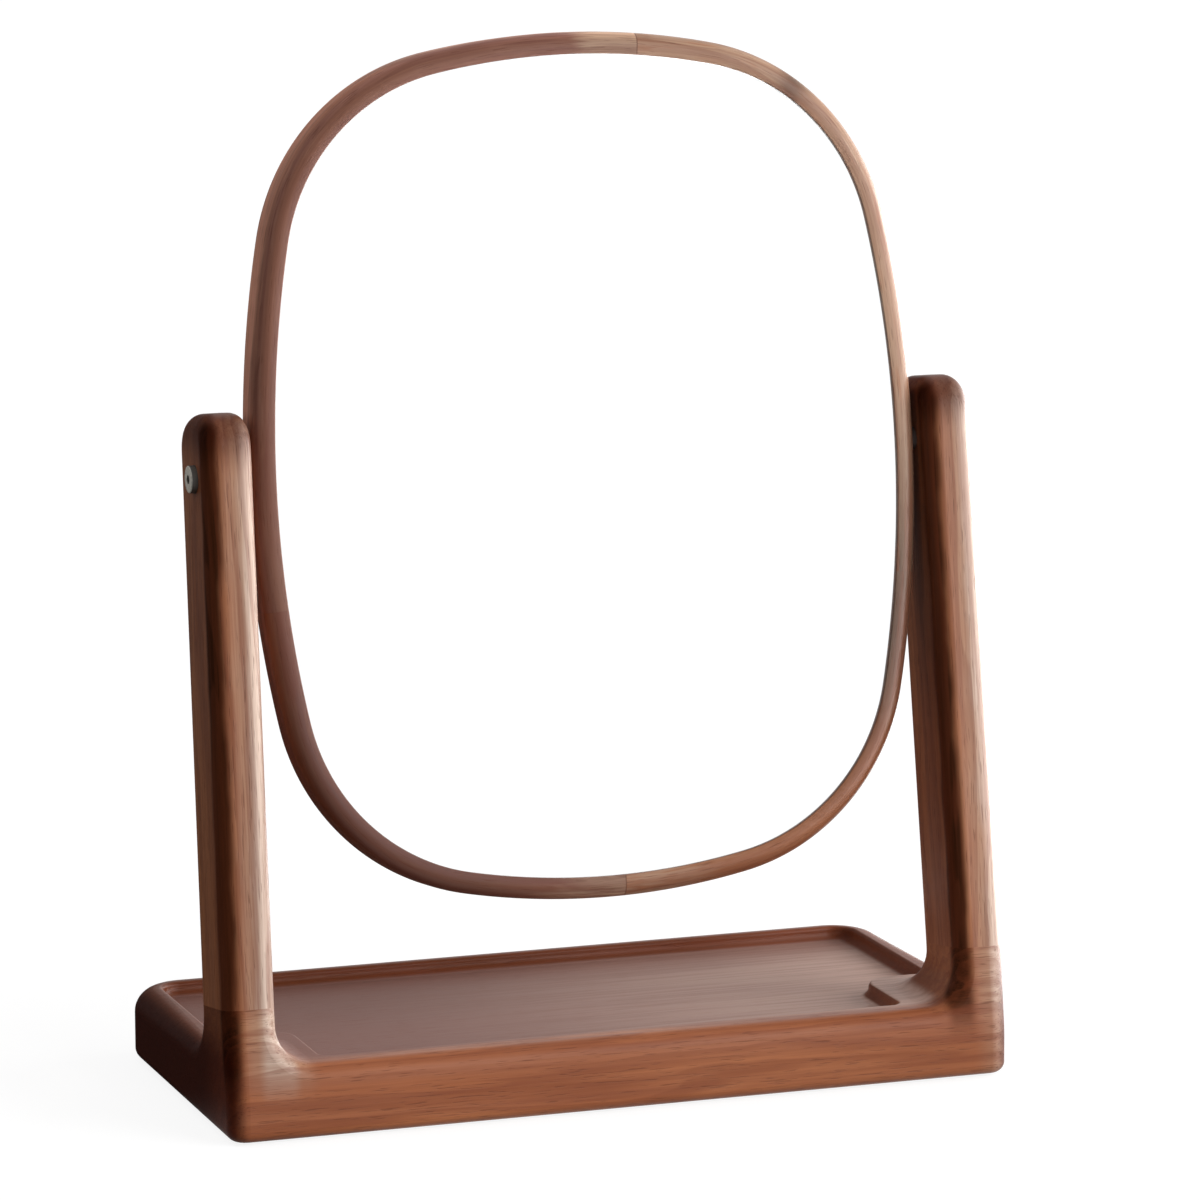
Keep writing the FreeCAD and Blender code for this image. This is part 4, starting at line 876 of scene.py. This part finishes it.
class VANITY_OT_stage(bpy.types.Operator):
    """Sets up the camera, the soft lamp, the room and a pale floor"""

    bl_idname = "vanity.stage"
    bl_label = "Stage"

    def execute(self, context):
        studio, scene = context.scene.vanity_studio, context.scene
        scene.view_settings.view_transform = "Standard"
        lens = bpy.data.cameras.new("camera")
        lens.lens, lens.sensor_width = studio.lens, 36.0
        lens.clip_start, lens.clip_end = 0.05, 60.0
        camera = bpy.data.objects.new("camera", lens)
        camera.matrix_world = (Matrix.Translation(studio.place)
                               @ Matrix.Rotation(-studio.heading, 4, "Z")
                               @ Matrix.Rotation(math.pi / 2 - studio.drop, 4, "X")
                               @ Matrix.Rotation(studio.roll, 4, "Z"))
        scene.collection.objects.link(camera)
        scene.camera = camera

        key = bpy.data.lights.new("soft_key", "SUN")
        key.energy, key.angle = studio.key, math.radians(50.0)
        lamp = bpy.data.objects.new("soft_key", key)
        lamp.rotation_euler = KEY_DIRECTION.to_track_quat("-Z", "Y").to_euler()
        scene.collection.objects.link(lamp)

        panel = bpy.data.lights.new("soft_window", "AREA")
        panel.shape, panel.size, panel.size_y, panel.energy = "RECTANGLE", 0.75, 0.55, studio.window
        window = bpy.data.objects.new("soft_window", panel)
        aimed = (WINDOW_AIM - WINDOW_PLACE).to_track_quat("-Z", "Y").to_matrix().to_4x4()
        window.matrix_world = Matrix.Translation(WINDOW_PLACE) @ aimed
        window.visible_camera = False
        scene.collection.objects.link(window)

        self.make_room(scene, studio)
        self.make_floor(scene, studio)
        return {"FINISHED"}

    def toward_lamp(self, tree, parts):
        """How far a place or direction lies on the lamps' side, to the right and in front."""
        return calc(tree, "MULTIPLY_ADD", parts["X"], LAMP_SIDE[0],
                    calc(tree, "MULTIPLY", parts["Y"], LAMP_SIDE[1]))

    def make_room(self, scene, studio):
        """White to the eye; to the object, bright in front and on the lamp's side, dim opposite."""
        world = bpy.data.worlds.new("room")
        world.use_nodes = True
        scene.world = world
        tree = world.node_tree
        direction = add(tree, "ShaderNodeTexCoord").outputs["Generated"]
        parts = add(tree, "ShaderNodeSeparateXYZ", {"Vector": direction}).outputs
        side = self.toward_lamp(tree, parts)
        path = add(tree, "ShaderNodeLightPath").outputs
        far = rise(tree, parts["Y"], -0.35, 0.60, studio.dim, studio.dim_behind)
        filled = rise(tree, parts["Y"], -0.35, 0.60, studio.fill, studio.fill_behind)
        near = rise(tree, parts["Z"], 0.3, 0.9, studio.bright, studio.above)
        diffuse = rise(tree, side, -0.75, 0.0, filled, near)
        glossy = calc(tree, "ADD", rise(tree, side, -0.55, -0.30, far, studio.gloss),
                      calc(tree, "MULTIPLY", rise(tree, parts["X"], 0.50, 0.95, 0.0, studio.sheen),
                           rise(tree, parts["Z"], 0.28, 0.10)))
        seen = calc(tree, "MAXIMUM", path["Is Camera Ray"], path["Is Transmission Ray"])
        level = calc(tree, "ADD", calc(tree, "MULTIPLY", glossy, path["Is Glossy Ray"]),
                     calc(tree, "MULTIPLY", diffuse, calc(tree, "SUBTRACT", 1.0, path["Is Glossy Ray"])))
        level = calc(tree, "MAXIMUM", level, seen)
        feed(tree, tree.nodes["Background"], {"Color": WHITE, "Strength": level})

    def make_floor(self, scene, studio):
        """A flat grid: x and y run over the floor, z is nought. It glows to the eye and in gloss."""
        run = np.linspace(-9.0, 9.0, 13)
        x, y = np.meshgrid(run, run, indexing="ij")
        points = np.stack((x, y, np.full_like(x, -0.0001)), -1).reshape(-1, 3)
        count = len(run)
        row, column = np.meshgrid(np.arange(count - 1), np.arange(count - 1), indexing="ij")
        corner = row * count + column
        quads = np.stack((corner, corner + count, corner + count + 1, corner + 1), -1).reshape(-1, 4)
        mesh = bpy.data.meshes.new("floor")
        mesh.from_pydata(points.tolist(), [], quads.tolist())
        material, tree, shader = new_material("floor")
        place = add(tree, "ShaderNodeTexCoord").outputs["Object"]
        speck = add(tree, "ShaderNodeTexNoise", {"Vector": place, "Scale": 40.0,
                                                 "Detail": 3.0}).outputs["Fac"]
        path = add(tree, "ShaderNodeLightPath").outputs
        parts = add(tree, "ShaderNodeSeparateXYZ", {"Vector": place}).outputs
        away = add(tree, "ShaderNodeVectorMath", {0: place}, operation="LENGTH").outputs["Value"]
        behind = rise(tree, parts["Y"], 0.0, 0.5, studio.dim, studio.dim_behind)
        shaded = rise(tree, away, 0.25, 1.2, studio.dim, behind)
        lit = rise(tree, self.toward_lamp(tree, parts), -0.13, 0.0, shaded, 1.0)
        glare = rise(tree, parts["X"], 0.22, 0.50, 1.0, studio.glare)
        seen = calc(tree, "MAXIMUM", path["Is Camera Ray"], path["Is Transmission Ray"])
        tinted = blend(tree, calc(tree, "MAXIMUM", seen, lit), BLACK, opaque(studio.floor))
        gloss = calc(tree, "MULTIPLY", path["Is Glossy Ray"], calc(tree, "MULTIPLY", lit, glare))
        glow = calc(tree, "MULTIPLY", calc(tree, "MAXIMUM", seen, gloss), studio.floor_glow)
        feed(tree, shader, {"Base Color": tinted, "Specular IOR Level": 0.0, "Emission Color": WHITE,
                            "Emission Strength": glow,
                            "Roughness": rise(tree, speck, 0.3, 0.7, 0.85, 0.95)})
        mesh.materials.append(material)
        floor = bpy.data.objects.new("floor", mesh)
        scene.collection.objects.link(floor)


STEPS = (VANITY_OT_stage, VANITY_OT_stand, VANITY_OT_oval_frame, VANITY_OT_glass, VANITY_OT_pivots,
         VANITY_OT_pads_and_dowels)
GROUPS = {"vanity_wood": VanityWood, "vanity_streaks": VanityStreaks, "vanity_frame": VanityFrameSizes,
          "vanity_finishes": VanityFinishes, "vanity_studio": VanityStudio}


class VANITY_PT_panel(bpy.types.Panel):
    """Sidebar panel with the settings and the steps"""

    bl_idname = "VANITY_PT_panel"
    bl_label = "Vanity mirror"
    bl_space_type = "VIEW_3D"
    bl_region_type = "UI"
    bl_category = "Vanity"

    def draw(self, context):
        for name, group in GROUPS.items():
            box = self.layout.box()
            for entry in group.__annotations__:
                box.prop(getattr(context.scene, name), entry)
        for step in STEPS:
            self.layout.operator(step.bl_idname)


def register():
    for kind in (*GROUPS.values(), *STEPS, VANITY_PT_panel):
        bpy.utils.register_class(kind)
    for name, group in GROUPS.items():
        setattr(bpy.types.Scene, name, PointerProperty(type=group))


def unregister():
    for name in GROUPS:
        delattr(bpy.types.Scene, name)
    for kind in (VANITY_PT_panel, *reversed(STEPS), *GROUPS.values()):
        bpy.utils.unregister_class(kind)


def main():
    register()
    bpy.ops.vanity.stage()
    bpy.ops.vanity.stand()
    bpy.ops.vanity.oval_frame()
    bpy.ops.vanity.glass()
    bpy.ops.vanity.pivots()
    bpy.ops.vanity.pads_and_dowels()


if __name__ == "__main__":
    main()
